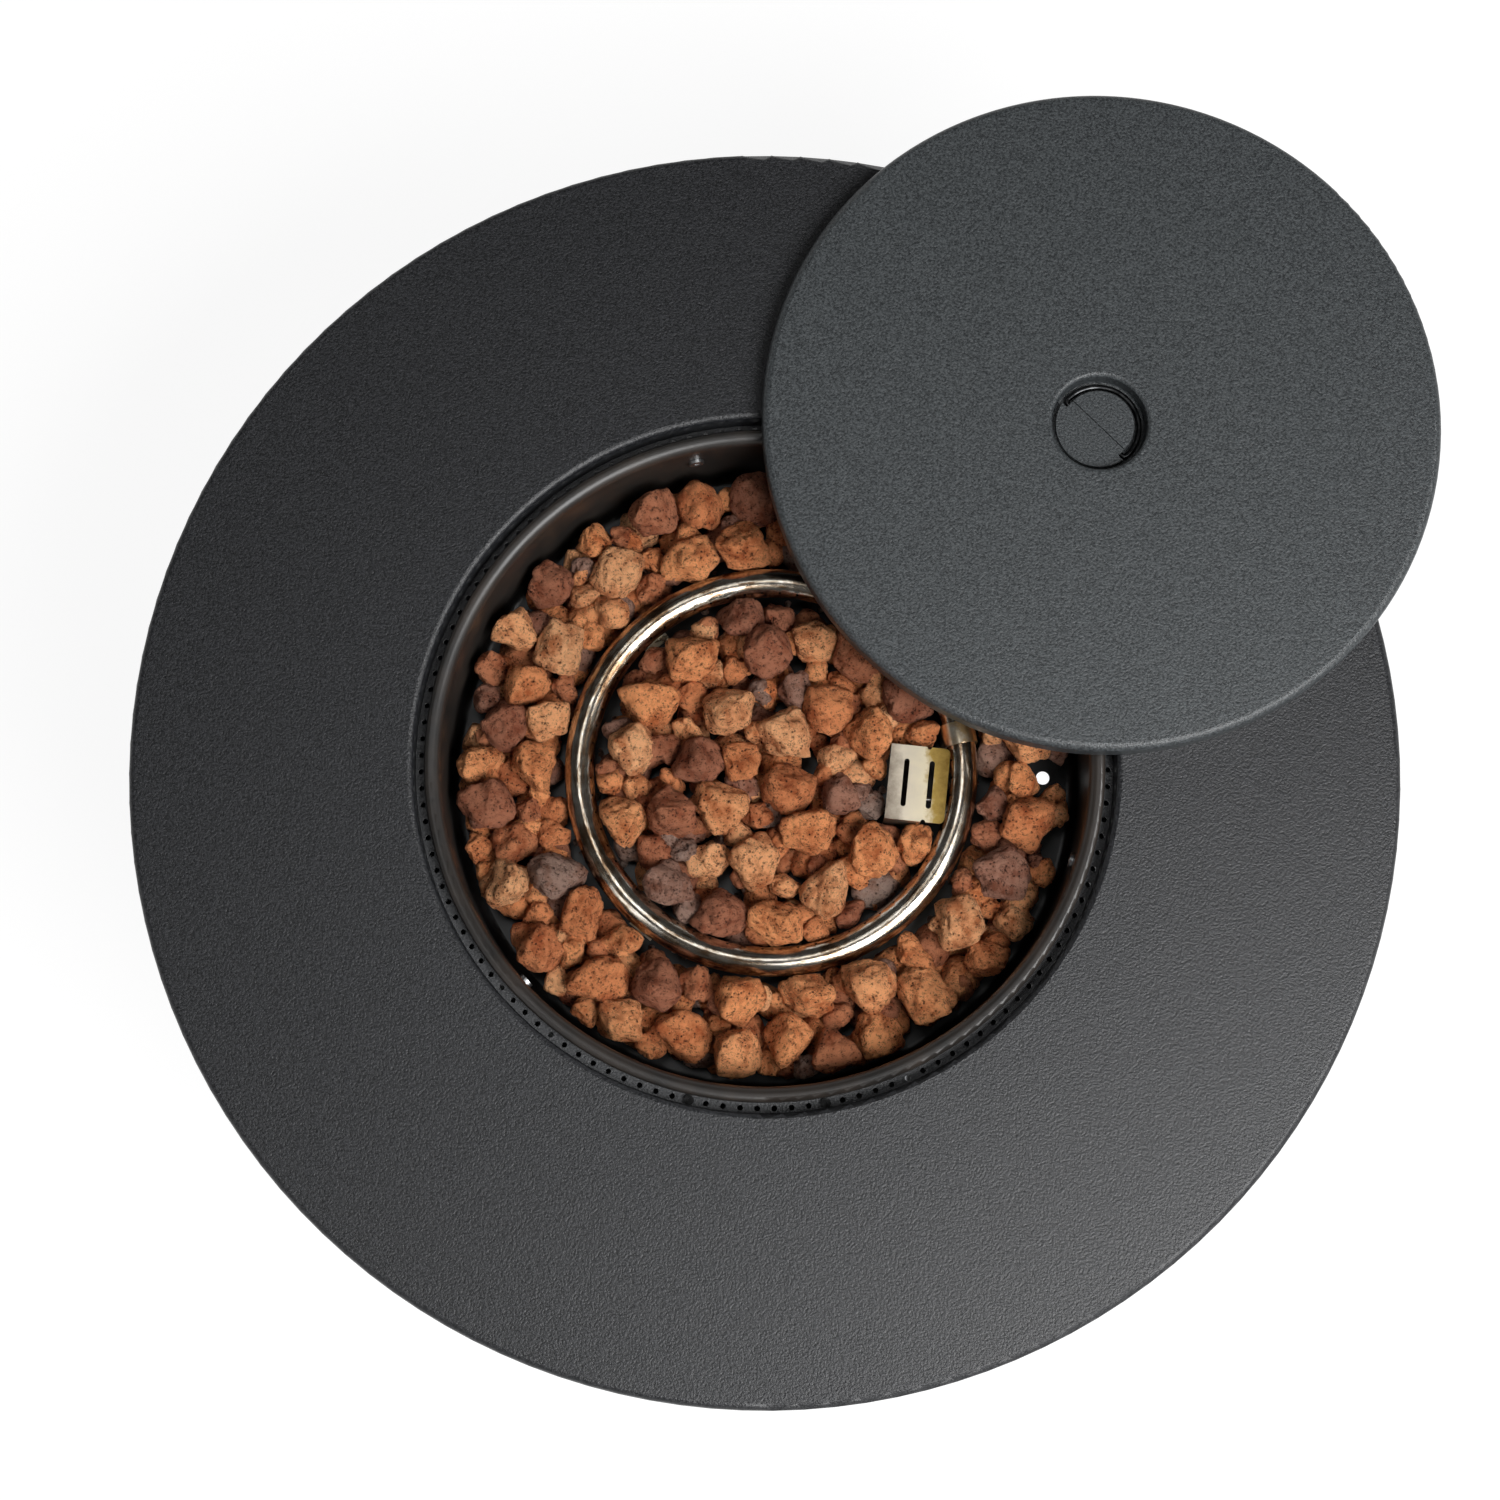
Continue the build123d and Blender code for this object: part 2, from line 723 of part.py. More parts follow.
# Flame sensor: a steel sheath on the same bracket
sheath_base = Plane(origin=(sheath_spot.X, sheath_spot.Y, lead_start))
with BuildPart() as flame_sensor:
    with BuildSketch(sheath_base):
        Circle(sheath_diameter / 2)
    extrude(amount=sheath_height)
    fillet(flame_sensor.faces().sort_by(Axis.Z)[-1].edges(), sheath_diameter / 3)
    with BuildSketch(sheath_base.offset(bracket_top - lead_start)):
        Circle(insulator_collar / 2)
    extrude(amount=insulator_collar_height)
pieces["flame_sensor"] = flame_sensor

# Air mixer, injector and elbow under the riser
mixer_top = riser_end + mixer_socket
mixer_bottom = mixer_top - mixer_length
feed_axis = Plane(origin=(riser_spot.X, riser_spot.Y, 0))
window_middle = (riser_end + mixer_bottom) / 2
with BuildPart() as air_mixer:
    with BuildSketch(feed_axis.offset(mixer_bottom)):
        Circle(mixer_diameter / 2)
        Circle(mixer_bore / 2, mode=Mode.SUBTRACT)
    extrude(amount=mixer_length)
    with BuildSketch(feed_axis.offset(riser_end)):
        Circle(riser_diameter / 2 + running_fit)
    extrude(amount=mixer_socket, mode=Mode.SUBTRACT)
    for turn in (0, 90):
        with Locations(Plane(origin=(riser_spot.X, riser_spot.Y, window_middle)).rotated((0, 0, turn))):
            Box(2 * mixer_diameter, mixer_window_width, mixer_window_height, mode=Mode.SUBTRACT)
pieces["air_mixer"] = air_mixer
elbow_top = mixer_bottom - injector_height
with BuildPart() as gas_injector:
    with BuildSketch(feed_axis.offset(elbow_top)):
        RegularPolygon(injector_width / 2, 6, major_radius=False)
    extrude(amount=injector_height)
    with BuildSketch(feed_axis.offset(mixer_bottom)):
        Circle(injector_nozzle_diameter / 2)
    extrude(amount=injector_nozzle_height)
pieces["gas_injector"] = gas_injector
elbow_middle = elbow_top - elbow_size / 2
with BuildPart() as feed_elbow:
    with Locations((riser_spot.X, riser_spot.Y, elbow_middle)):
        Box(elbow_size, elbow_size, elbow_size)
    fillet(feed_elbow.edges().filter_by(Axis.X), elbow_size / 8)
pieces["feed_elbow"] = feed_elbow

# Control panel: a shallow pan standing proud of the drum's front
with BuildPart() as control_panel:
    with BuildSketch(panel_plane(0, 0)):
        RectangleRounded(panel_width, panel_height, panel_corner)
    extrude(amount=-panel_stand - panel_width / 4)
    with BuildSketch(panel_plane(0, -panel_sheet)):
        RectangleRounded(panel_width - 2 * panel_sheet, panel_height - 2 * panel_sheet, panel_corner - panel_sheet)
    extrude(amount=-panel_stand - panel_width / 4, mode=Mode.SUBTRACT)
    with BuildSketch(Plane.XY):
        Circle(drum_radius + seat_gap)
    extrude(amount=top_height, mode=Mode.SUBTRACT)
    with BuildSketch(panel_plane(0, 0)):
        with Locations((knob_x, 0)):
            Circle(stem_diameter / 2 + stem_hole_clearance)
        with Locations((igniter_x, 0)):
            Circle(igniter_diameter / 2 + screw_clearance)
        with Locations(*panel_screw_spots):
            Circle(m4_diameter / 2 + screw_clearance)
    extrude(amount=-panel_sheet, mode=Mode.SUBTRACT)
pieces["control_panel"] = control_panel
panel_screw_planes = [
    Plane(origin=(x, -panel_face, panel_middle + z), z_dir=(0, -1, 0)) for x, z in panel_screw_spots
]
panel_screw_x = panel_screw_spots[-1][0]
drum_wall_depth = panel_face - math.sqrt((drum_radius - drum_sheet) ** 2 - panel_screw_x**2)
pieces["panel_screws"] = socket_screws(
    panel_screw_planes, m4_head_diameter, m4_head_height, m4_diameter, drum_wall_depth + bolt_tail
)

# Gas valve: a cast body with a turning plug, the magnet housing and two pipe bosses
body_front = -panel_sheet - valve_boss_length
body_back = body_front - valve_length
plug_front = body_front - valve_front_wall
plug_back = plug_front - plug_length
boss_out = -panel_sheet - port_boss_setback
valve_half = valve_size / 2
knob_rest = bezel_height + knob_push + knob_floor_gap
stem_back = plug_front - stem_in_plug
stem_bore_end = stem_back - knob_push - knob_floor_gap
with BuildPart() as gas_valve:
    with BuildSketch(panel_plane(knob_x, body_front)):
        RectangleRounded(valve_size, valve_size, valve_size / 8)
    extrude(amount=-valve_length)
    with BuildSketch(panel_plane(knob_x, -panel_sheet)):
        Circle(valve_boss_diameter / 2)
    extrude(amount=-valve_boss_length)
    with BuildSketch(panel_plane(knob_x, body_back)):
        Circle(magnet_diameter / 2)
    extrude(amount=-magnet_length)
    with BuildSketch(Plane(origin=(knob_x, -panel_face - boss_out, panel_middle - valve_half), z_dir=(0, 0, -1))):
        Circle(port_boss_diameter / 2)
    extrude(amount=port_boss_length)
    with BuildSketch(Plane(origin=(knob_x + valve_half, -panel_face - boss_out, panel_middle), z_dir=(1, 0, 0))):
        Circle(port_boss_diameter / 2)
    extrude(amount=port_boss_length)
    with BuildSketch(panel_plane(knob_x, plug_front)):
        Circle(plug_diameter / 2 + running_fit)
    extrude(amount=-plug_length - running_fit, mode=Mode.SUBTRACT)
    with BuildSketch(panel_plane(knob_x, 0)):
        Circle(stem_diameter / 2 + stem_hole_clearance / 2)
    extrude(amount=plug_front, mode=Mode.SUBTRACT)
pieces["gas_valve"] = gas_valve
with BuildPart() as valve_plug:
    with BuildSketch(panel_plane(knob_x, plug_front - running_fit)):
        Circle(plug_diameter / 2)
    extrude(amount=-plug_length + running_fit)
    with BuildSketch(panel_plane(knob_x, plug_front - running_fit)):
        d_shape(stem_diameter / 2 + running_fit, stem_flat + running_fit)
    extrude(amount=stem_bore_end - plug_front, mode=Mode.SUBTRACT)
pieces["valve_plug"] = valve_plug
with BuildPart() as valve_stem:
    with BuildSketch(panel_plane(knob_x, knob_rest + stem_in_knob)):
        d_shape(stem_diameter / 2, stem_flat)
    extrude(amount=stem_back - knob_rest - stem_in_knob)
pieces["valve_stem"] = valve_stem

# Knob and its bezel
with BuildPart() as control_knob:
    with BuildSketch(panel_plane(knob_x, knob_rest)):
        Circle(knob_diameter / 2)
    extrude(amount=knob_base_height)
    with BuildSketch(panel_plane(knob_x, knob_rest)):
        RectangleRounded(knob_grip_width, knob_diameter, knob_grip_width / 3)
    extrude(amount=knob_base_height + knob_grip_height)
    fillet(control_knob.faces().sort_by(Axis.Y)[0].edges(), knob_grip_width / 6)
    with BuildSketch(panel_plane(knob_x, knob_rest)):
        d_shape(stem_diameter / 2, stem_flat)
    extrude(amount=stem_in_knob, mode=Mode.SUBTRACT)
pieces["control_knob"] = control_knob
with BuildPart() as knob_bezel:
    with BuildSketch(panel_plane(knob_x, 0)):
        Circle(bezel_diameter / 2)
        Circle(bezel_hole_diameter / 2, mode=Mode.SUBTRACT)
    extrude(amount=bezel_height)
pieces["knob_bezel"] = knob_bezel

# Gas inlet: a hexagon and a left-hand thread for the hose, pointing at the floor
inlet_top = panel_middle - valve_half - port_boss_length
inlet_plane = Plane(origin=(knob_x, -panel_face - boss_out, inlet_top), z_dir=(0, 0, -1))
with BuildPart() as gas_inlet:
    with BuildSketch(inlet_plane):
        RegularPolygon(inlet_hex_width / 2, 6, major_radius=False)
    extrude(amount=inlet_hex_height)
    with BuildSketch(inlet_plane.offset(inlet_hex_height)):
        Circle(inlet_thread_diameter / 2)
    extrude(amount=inlet_thread_length)
pieces["gas_inlet"] = gas_inlet

# Gas pipe from the valve's outlet to the elbow, with a nut at each end
outlet_plane = Plane(
    origin=(knob_x + valve_half + port_boss_length, -panel_face - boss_out, panel_middle), z_dir=(1, 0, 0)
)
elbow_plane = Plane(origin=(riser_spot.X, riser_spot.Y - elbow_size / 2, elbow_middle), z_dir=(0, -1, 0))
pieces["pipe_nuts"] = hex_nuts([outlet_plane, elbow_plane], gas_pipe_diameter, pipe_nut_width, pipe_nut_length)
pipe_turn = outlet_plane.offset(gas_pipe_side_run).origin
pieces["gas_pipe"] = tube_along(
    [
        outlet_plane.origin,
        pipe_turn,
        (riser_spot.X, pipe_turn.Y + gas_pipe_back_run, elbow_middle),
        elbow_plane.origin,
    ],
    [gas_pipe_bend, gas_pipe_bend],
    gas_pipe_diameter,
)

# Push igniter: a barrel held by a nut behind the panel, with its button
with BuildPart() as igniter_body:
    with BuildSketch(panel_plane(igniter_x, 0)):
        Circle(igniter_flange_diameter / 2)
    extrude(amount=igniter_flange_height)
    with BuildSketch(panel_plane(igniter_x, 0)):
        Circle(igniter_diameter / 2)
    extrude(amount=-igniter_length)
    with BuildSketch(panel_plane(igniter_x, igniter_flange_height)):
        Circle(button_diameter / 2 + running_fit)
    extrude(
        amount=-igniter_flange_height - button_seat - button_travel - seat_gap,
        mode=Mode.SUBTRACT,
    )
pieces["igniter_body"] = igniter_body
pieces["igniter_nut"] = hex_nuts(
    [panel_plane(igniter_x, -panel_sheet - igniter_nut_height)],
    igniter_diameter,
    igniter_nut_width,
    igniter_nut_height,
)
with BuildPart() as igniter_button:
    with BuildSketch(panel_plane(igniter_x, -button_seat)):
        Circle(button_diameter / 2)
    extrude(amount=button_seat + igniter_flange_height + button_proud)
    fillet(igniter_button.faces().sort_by(Axis.Y)[0].edges(), button_dome)
pieces["igniter_button"] = igniter_button

# Hanger: carries the valve from the ledge and keeps the bowl's heat off the controls
hanger_web = vent_radius + m4_nut_width / 2 + hanger_nut_gap
hanger_half = max(abs(plane.origin.X) for plane in hanger_screw_tops) + hanger_edge
half_hanger = hanger_sheet / 2
valve_top = panel_middle + valve_half
with BuildPart() as valve_hanger:
    with BuildSketch(Plane.YZ):
        with BuildLine():
            Polyline(
                (hanger_flange - hanger_web, ledge_under - half_hanger),
                (-hanger_web - half_hanger, ledge_under - half_hanger),
                (-hanger_web - half_hanger, valve_top + half_hanger),
                (hanger_shelf - hanger_web, valve_top + half_hanger),
            )
        trace(line_width=hanger_sheet)
    extrude(amount=hanger_half, both=True)
    with BuildSketch(Plane.XY.offset(ledge_under - hanger_sheet)):
        with Locations(*vent_spots):
            Circle(vent_diameter / 2)
        with Locations(*[(plane.origin.X, plane.origin.Y) for plane in hanger_screw_tops]):
            Circle(m4_diameter / 2 + screw_clearance)
    extrude(amount=hanger_sheet, mode=Mode.SUBTRACT)
pieces["valve_hanger"] = valve_hanger
hanger_clamp = drum_sheet + hanger_sheet
pieces["hanger_screws"] = socket_screws(
    hanger_screw_tops, cap_head_diameter, cap_head_height, m4_diameter, hanger_clamp + nut_height + bolt_tail
)
hanger_nut_planes = [
    Plane(origin=polar(vent_radius, azimuth, ledge_top - hanger_clamp), z_dir=(0, 0, -1))
    for azimuth in hanger_screw_azimuths
]
pieces["hanger_nuts"] = hex_nuts(hanger_nut_planes, m4_diameter, m4_nut_width, nut_height)

# Leads under the bowl: the spark lead and the flame sensor's lead
lead_nut_plane = panel_plane(knob_x, body_back - magnet_length - lead_nut_length)
pieces["sensor_nut"] = hex_nuts([lead_nut_plane], sensor_lead_diameter, lead_nut_width, lead_nut_length)


def lead_route(spot, drop, fitting):
    """Points of a lead that drops through the bowl's floor and runs straight into a fitting."""
    return [
        (spot.X, spot.Y, lead_start),
        (spot.X, spot.Y, bowl_under - drop),
        (fitting.X, fitting.Y + lead_run, fitting.Z),
        fitting,
    ]


igniter_back = panel_plane(igniter_x, -igniter_length).origin
spark_route = lead_route(electrode_spot, spark_lead_drop, igniter_back)
pieces["ignition_lead"] = tube_along(spark_route, [lead_bend, lead_bend], spark_lead_diameter)
magnet_back = panel_plane(knob_x, body_back - magnet_length).origin
sensor_route = lead_route(sheath_spot, sensor_lead_drop, magnet_back)
pieces["sensor_lead"] = tube_along(sensor_route, [lead_bend, lead_bend], sensor_lead_diameter)

# Legs: splayed tubes on plates bolted under the drum's flange, with caps on the floor
leg_plate_under = drum_bottom - leg_plate_sheet
leg_names = ("leg_back", "leg_left", "leg_right")
foot_radius = leg_diameter / 2 + foot_clearance + foot_wall
for name, azimuth in zip(leg_names, leg_azimuths):
    leg_foot = polar(leg_foot_radius, azimuth, 0)
    leg_head = polar(leg_top_radius, azimuth, leg_plate_under)
    leg_way = (leg_head - leg_foot).normalized()
    leg_length = (leg_head - leg_foot).length
    leg_line = Plane(origin=leg_foot, z_dir=leg_way)
    with BuildPart() as leg:
        with BuildSketch(leg_line.offset(-leg_diameter)):
            Circle(leg_diameter / 2)
            Circle(leg_diameter / 2 - leg_wall, mode=Mode.SUBTRACT)
        extrude(amount=leg_length + 2 * leg_diameter)
        split(bisect_by=Plane.XY.offset(foot_floor), keep=Keep.TOP)
        split(bisect_by=Plane.XY.offset(leg_plate_under), keep=Keep.BOTTOM)
        with BuildSketch(upright_plane(leg_top_radius, azimuth, leg_plate_under)):
            RectangleRounded(leg_plate_width, leg_plate_length, leg_plate_sheet)
            with GridLocations(leg_bolt_pitch, leg_bolt_spread, 2, 2):
                Circle(m6_diameter / 2 + screw_clearance, mode=Mode.SUBTRACT)
        extrude(amount=leg_plate_sheet)
    pieces[name] = leg
    with BuildPart() as foot:
        with BuildSketch(leg_line.offset(-leg_diameter)):
            Circle(foot_radius)
            Circle(leg_diameter / 2 + foot_clearance, mode=Mode.SUBTRACT)
        extrude(amount=leg_diameter + foot_height)
        split(bisect_by=Plane.XY.offset(foot_floor), keep=Keep.TOP)
        with BuildSketch(Plane(origin=leg_foot)):
            Circle(foot_radius + foot_brim)
        extrude(amount=foot_floor)
    pieces[name.replace("leg", "foot")] = foot
leg_bolt_planes = [Plane(origin=(spot.X, spot.Y, leg_plate_under), z_dir=(0, 0, -1)) for spot in leg_bolt_spots]
leg_bolt_length = leg_plate_sheet + drum_sheet + nut_height + bolt_tail
pieces["leg_bolts"] = hex_bolts(leg_bolt_planes, m6_diameter, leg_bolt_length)
leg_nut_planes = [Plane(origin=(spot.X, spot.Y, drum_floor)) for spot in leg_bolt_spots]
pieces["leg_nuts"] = hex_nuts(leg_nut_planes, m6_diameter, nut_width, nut_height)

# Lid: a pan lying on the table, with a pressed cup for the pull welded flush into it
half_lid = lid_sheet / 2
pocket_radius = pocket_diameter / 2
pull_x = lid_x + pocket_shift[0]
pull_y = lid_y + pocket_shift[1]
with BuildPart() as lid_pan:
    add(
        Location((lid_x, lid_y, 0))
        * sheet_section(
            [
                (0, lid_top - half_lid),
                (lid_radius - half_lid, lid_top - half_lid),
                (lid_radius - half_lid, top_height),
            ],
            [lid_edge_radius],
            lid_sheet,
        )
    )
    revolve(axis=Axis((lid_x, lid_y, 0), (0, 0, 1)))
    with BuildSketch(Plane.XY.offset(lid_top)):
        with Locations((pull_x, pull_y)):
            Circle(pocket_rim_radius)
    extrude(amount=-lid_sheet, mode=Mode.SUBTRACT)
pieces["lid_pan"] = lid_pan
with BuildPart() as lid_pocket:
    add(
        Location((pull_x, pull_y, 0))
        * sheet_section(
            [
                (pocket_rim_radius, lid_top - half_lid),
                (pocket_radius + half_lid, lid_top - half_lid),
                (pocket_radius + half_lid, pocket_floor - half_lid),
                (0, pocket_floor - half_lid),
            ],
            [pocket_roll, pocket_bend],
            lid_sheet,
        )
    )
    revolve(axis=Axis((pull_x, pull_y, 0), (0, 0, 1)))
pieces["lid_pocket"] = lid_pocket

# Pull: a half-round block on the pocket's floor holds the pins of a bail, which folds round a plate
pull_plane = Plane(
    origin=(pull_x, pull_y, pocket_floor), x_dir=polar(1, pull_azimuth, 0), z_dir=(0, 0, 1)
)
bail_height = bail_wire / 2 + bail_floor_gap
block_half = bail_radius - bail_corner - bail_corner_gap
notch_depth = bail_inset + bail_wire / 2 + bail_corner_gap
bail_way = polar(1, pull_azimuth, 0)
bail_plane = Plane(
    origin=pull_plane.from_local_coords(Vector(0, -bail_inset, bail_height)), x_dir=bail_way, z_dir=(0, 0, 1)
)
with BuildPart() as pull_block:
    with BuildSketch(pull_plane):
        Circle(pull_plate_radius)
        with Locations((0, 0)):
            Rectangle(
                2 * pull_plate_radius, pull_plate_radius, align=(Align.CENTER, Align.MIN), mode=Mode.SUBTRACT
            )
        with Locations((block_half, 0)):
            Rectangle(pull_plate_radius, notch_depth, align=(Align.MIN, Align.MAX), mode=Mode.SUBTRACT)
        with Locations((-block_half, 0)):
            Rectangle(pull_plate_radius, notch_depth, align=(Align.MAX, Align.MAX), mode=Mode.SUBTRACT)
    extrude(amount=pull_plate_height)
    with BuildSketch(Plane(origin=bail_plane.from_local_coords(Vector(-block_half, 0, 0)), z_dir=bail_way)):
        Circle(bail_wire / 2 + running_fit)
    extrude(amount=2 * block_half, mode=Mode.SUBTRACT)
pieces["pull_block"] = pull_block
with BuildPart() as pull_rest:
    with BuildSketch(pull_plane):
        Circle(bail_radius - bail_wire / 2 - rest_bail_gap)
        with Locations((0, rest_slit)):
            Rectangle(
                2 * pull_plate_radius, 2 * pull_plate_radius, align=(Align.CENTER, Align.MAX), mode=Mode.SUBTRACT
            )
    extrude(amount=pull_plate_height)
pieces["pull_rest"] = pull_rest
bail_reach = bail_radius + bail_inset
bail_bow = bail_radius - bail_straight
pin_end = block_half - bail_pin
bail_points = [
    (-pin_end, 0),
    (-bail_radius, 0),
    (-bail_radius, bail_reach),
    (bail_radius, bail_reach),
    (bail_radius, 0),
    (pin_end, 0),
]
pieces["pull_bail"] = tube_along(
    [bail_plane.from_local_coords(Vector(x, y, 0)) for x, y in bail_points],
    [bail_corner, bail_bow, bail_bow, bail_corner],
    bail_wire,
)

# Lava rocks: two layers of broken stones, each cut flat where it meets a neighbour
dice = random.Random(rock_seed)
rock_wall = bowl_radius - bowl_corner_radius
fence_inner = ring_radius - ring_tube / 2 - rock_fence_gap
golden_angle = math.pi * (3 - math.sqrt(5))
open_drain = polar(drain_radius, 0, 0)


def ring_distance(point):
    """How far a point lies from the ring burner's upright axis."""
    return math.hypot(point.X - ring_center.X, point.Y - ring_center.Y)


def shield_offsets(point):
    """How far a point lies outside the shield's footprint, along and across it."""
    local = shield_plane.to_local_coords(point)
    across = abs(local.X) - shield_width / 2 - rock_shield_gap
    along = abs(local.Y) - shield_length / 2 - rock_shield_gap
    return local, across, along


def has_room(center, size):
    """Whether a rock may stand here, clear of the ring, the shield and the open drain."""
    local, across, along = shield_offsets(center)
    from_fence = abs(ring_distance(center) - ring_radius) - ring_tube / 2 - rock_fence_gap
    from_drain = math.hypot(center.X - open_drain.X, center.Y - open_drain.Y) - drain_diameter / 2
    return min(from_fence, max(across, along), from_drain - size / 2) > rock_standoff * size


def scatter_rocks(sizes, height, below):
    """Rocks of one layer, the large ones first, kept apart from each other and from the fittings."""
    layer = []
    for size in sizes:
        for attempt in range(rock_tries):
            radius = (rock_wall - rock_standoff * size) * math.sqrt(dice.random())
            azimuth = 360 * dice.random()
            lift = rock_lift * size + dice.uniform(-rock_height_spread, rock_height_spread)
            center = polar(radius, azimuth, bowl_floor + height + lift)
            if (
                has_room(center, size)
                and all((center - spot).length > rock_tightness * (size + other) for spot, other in layer)
                and all((center - spot).length > rock_sink * (size + other) for spot, other in below)
            ):
                layer.append((center, size))
    return layer


def wall_reach(start, way, middle, radius):
    """How far a line runs from a point inside an upright cylinder to its wall."""
    x = start.X - middle.X
    y = start.Y - middle.Y
    slope = way.X**2 + way.Y**2
    if slope < level_slope:
        return math.inf
    along = (x * way.X + y * way.Y) / slope
    return -along + math.sqrt(along**2 + (radius**2 - x**2 - y**2) / slope)


def random_way():
    """A direction drawn evenly from all directions."""
    rise = dice.uniform(-1, 1)
    return polar(math.sqrt(1 - rise**2), 360 * dice.random(), rise)


def rock_corner_points(rock, neighbours, contacts):
    """Corners of one stone, held inside the flat cuts towards everything near it."""
    center, size = rock
    inside = ring_distance(center) < ring_radius
    cuts = [(Vector(0, 0, -1), center.Z - bowl_floor - rock_gap / 2)]
    for spot, other in neighbours:
        gap = spot - center
        cuts.append((gap.normalized(), gap.length * size / (size + other) - rock_gap / 2))
    if not inside:
        inward = Vector(ring_center.X - center.X, ring_center.Y - center.Y, 0)
        to_tube = inward.normalized() * (inward.length - ring_radius)
        to_tube -= Vector(0, 0, max(0, center.Z - ring_height))
        cuts.append((to_tube.normalized(), to_tube.length - ring_tube / 2 - rock_fence_gap))
    local, across, along = shield_offsets(center)
    if across > along:
        cuts.append((shield_plane.x_dir * -math.copysign(1, local.X), across))
    else:
        cuts.append((shield_plane.y_dir * -math.copysign(1, local.Y), along))
    long_way = random_way()
    flat_way = long_way.cross(random_way()).normalized()
    wide_way = long_way.cross(flat_way)
    axes = [
        (long_way, size * dice.uniform(*rock_long)),
        (wide_way, size * dice.uniform(*rock_wide)),
        (flat_way, size * dice.uniform(*rock_flat)),
    ]
    ways = [((spot - center).normalized(), math.inf) for spot, other in contacts]
    ways.append((Vector(0, 0, -1), rock_long[1] * size))
    turn = dice.uniform(0, 2 * math.pi)
    for k in range(rock_corners):
        jitter = dice.uniform(-corner_rise_jitter, corner_rise_jitter)
        rise = max(-1, min(1, 1 - (2 * k + 1 + jitter) / rock_corners))
        flat = math.sqrt(1 - rise**2)
        angle = turn + k * golden_angle + dice.uniform(-corner_turn_jitter, corner_turn_jitter)
        way = Vector(flat * math.cos(angle), flat * math.sin(angle), rise)
        spread = math.sqrt(sum((way.dot(axis) / reach) ** 2 for axis, reach in axes))
        ways.append((way, dice.uniform(*corner_reach) / spread))
    points = []
    for way, reach in ways:
        for normal, distance in cuts:
            facing = normal.dot(way)
            if facing > level_slope:
                reach = min(reach, distance / facing)
        if inside:
            reach = min(reach, wall_reach(center, way, ring_center, fence_inner))
        else:
            reach = min(reach, wall_reach(center, way, Vector(0, 0, 0), rock_wall))
        points.append(center + way * reach)
    return points


lower_rocks = scatter_rocks(lower_rock_sizes, lower_rock_height, [])
upper_rocks = scatter_rocks(upper_rock_sizes, upper_rock_height, lower_rocks)
rocks = lower_rocks + upper_rocks


def tightness(one, other):
    """How far apart two rocks stand, against their sizes."""
    return (other[0] - one[0]).length / (one[1] + other[1])


near = []
for rock in rocks:
    inside = ring_distance(rock[0]) < ring_radius
    same_side = [
        k
        for k, other in enumerate(rocks)
        if other is not rock and (ring_distance(other[0]) < ring_radius) == inside
    ]
    near.append(sorted(same_side, key=lambda k: tightness(rock, rocks[k])))
touching = [set(order[:rock_contacts]) for order in near]
for k, order in enumerate(near):
    if k >= len(lower_rocks):
        touching[k].add(next(other for other in order if other < len(lower_rocks)))
    for other in tuple(touching[k]):
        touching[other].add(k)
layers = {"lava_rocks_lower": [], "lava_rocks_inner": [], "lava_rocks_outer": []}
for k, rock in enumerate(rocks):
    around = [rocks[other] for other in near[k] if tightness(rock, rocks[other]) < rock_search]
    contacts = [rocks[other] for other in sorted(touching[k])]
    stone = ConvexPolyhedron(rock_corner_points(rock, around, contacts))
    if k < len(lower_rocks):
        layers["lava_rocks_lower"].append(stone)
    elif ring_distance(rock[0]) < ring_radius:
        layers["lava_rocks_inner"].append(stone)
    else:
        layers["lava_rocks_outer"].append(stone)
for name, stones in layers.items():
    with BuildPart() as lava_rocks:
        add(stones, mode=Mode.REPLACE)
    pieces[name] = lava_rocks

# Each piece goes to its own file, named for the piece
os.makedirs("parts", exist_ok=True)
for name, piece in pieces.items():
    piece.part.label = name
    export_step(piece.part, f"parts/{name}.step")
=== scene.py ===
import json
import math
import random

import bmesh
import bpy
from mathutils import Euler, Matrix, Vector


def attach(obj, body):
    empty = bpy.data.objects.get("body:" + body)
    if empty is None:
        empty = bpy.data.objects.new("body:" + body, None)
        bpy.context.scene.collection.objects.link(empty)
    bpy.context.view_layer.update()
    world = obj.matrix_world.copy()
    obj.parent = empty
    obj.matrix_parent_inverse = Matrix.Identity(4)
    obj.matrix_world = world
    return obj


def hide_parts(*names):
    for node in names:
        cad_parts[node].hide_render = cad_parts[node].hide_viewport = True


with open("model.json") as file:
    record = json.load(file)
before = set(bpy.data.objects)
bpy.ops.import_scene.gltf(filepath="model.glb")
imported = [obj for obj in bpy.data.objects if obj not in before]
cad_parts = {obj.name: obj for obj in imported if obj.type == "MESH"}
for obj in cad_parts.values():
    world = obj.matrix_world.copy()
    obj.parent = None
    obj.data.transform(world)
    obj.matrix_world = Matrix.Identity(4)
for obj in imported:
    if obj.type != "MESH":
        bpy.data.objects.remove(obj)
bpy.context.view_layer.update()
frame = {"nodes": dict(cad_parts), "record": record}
nodes = frame["nodes"]
scene = bpy.context.scene
noise_middle = 0.5


def linear(code):
    """An sRGB hex colour as the linear colour that sockets take."""
    channels = [int(code[k : k + 2], 16) / 255 for k in (1, 3, 5)]
    return [c / 12.92 if c <= 0.04045 else ((c + 0.055) / 1.055) ** 2.4 for c in channels] + [1]


def per_metre(size_mm):
    """The scale of a pattern whose features are this many millimetres apart."""
    return 1000 / size_mm


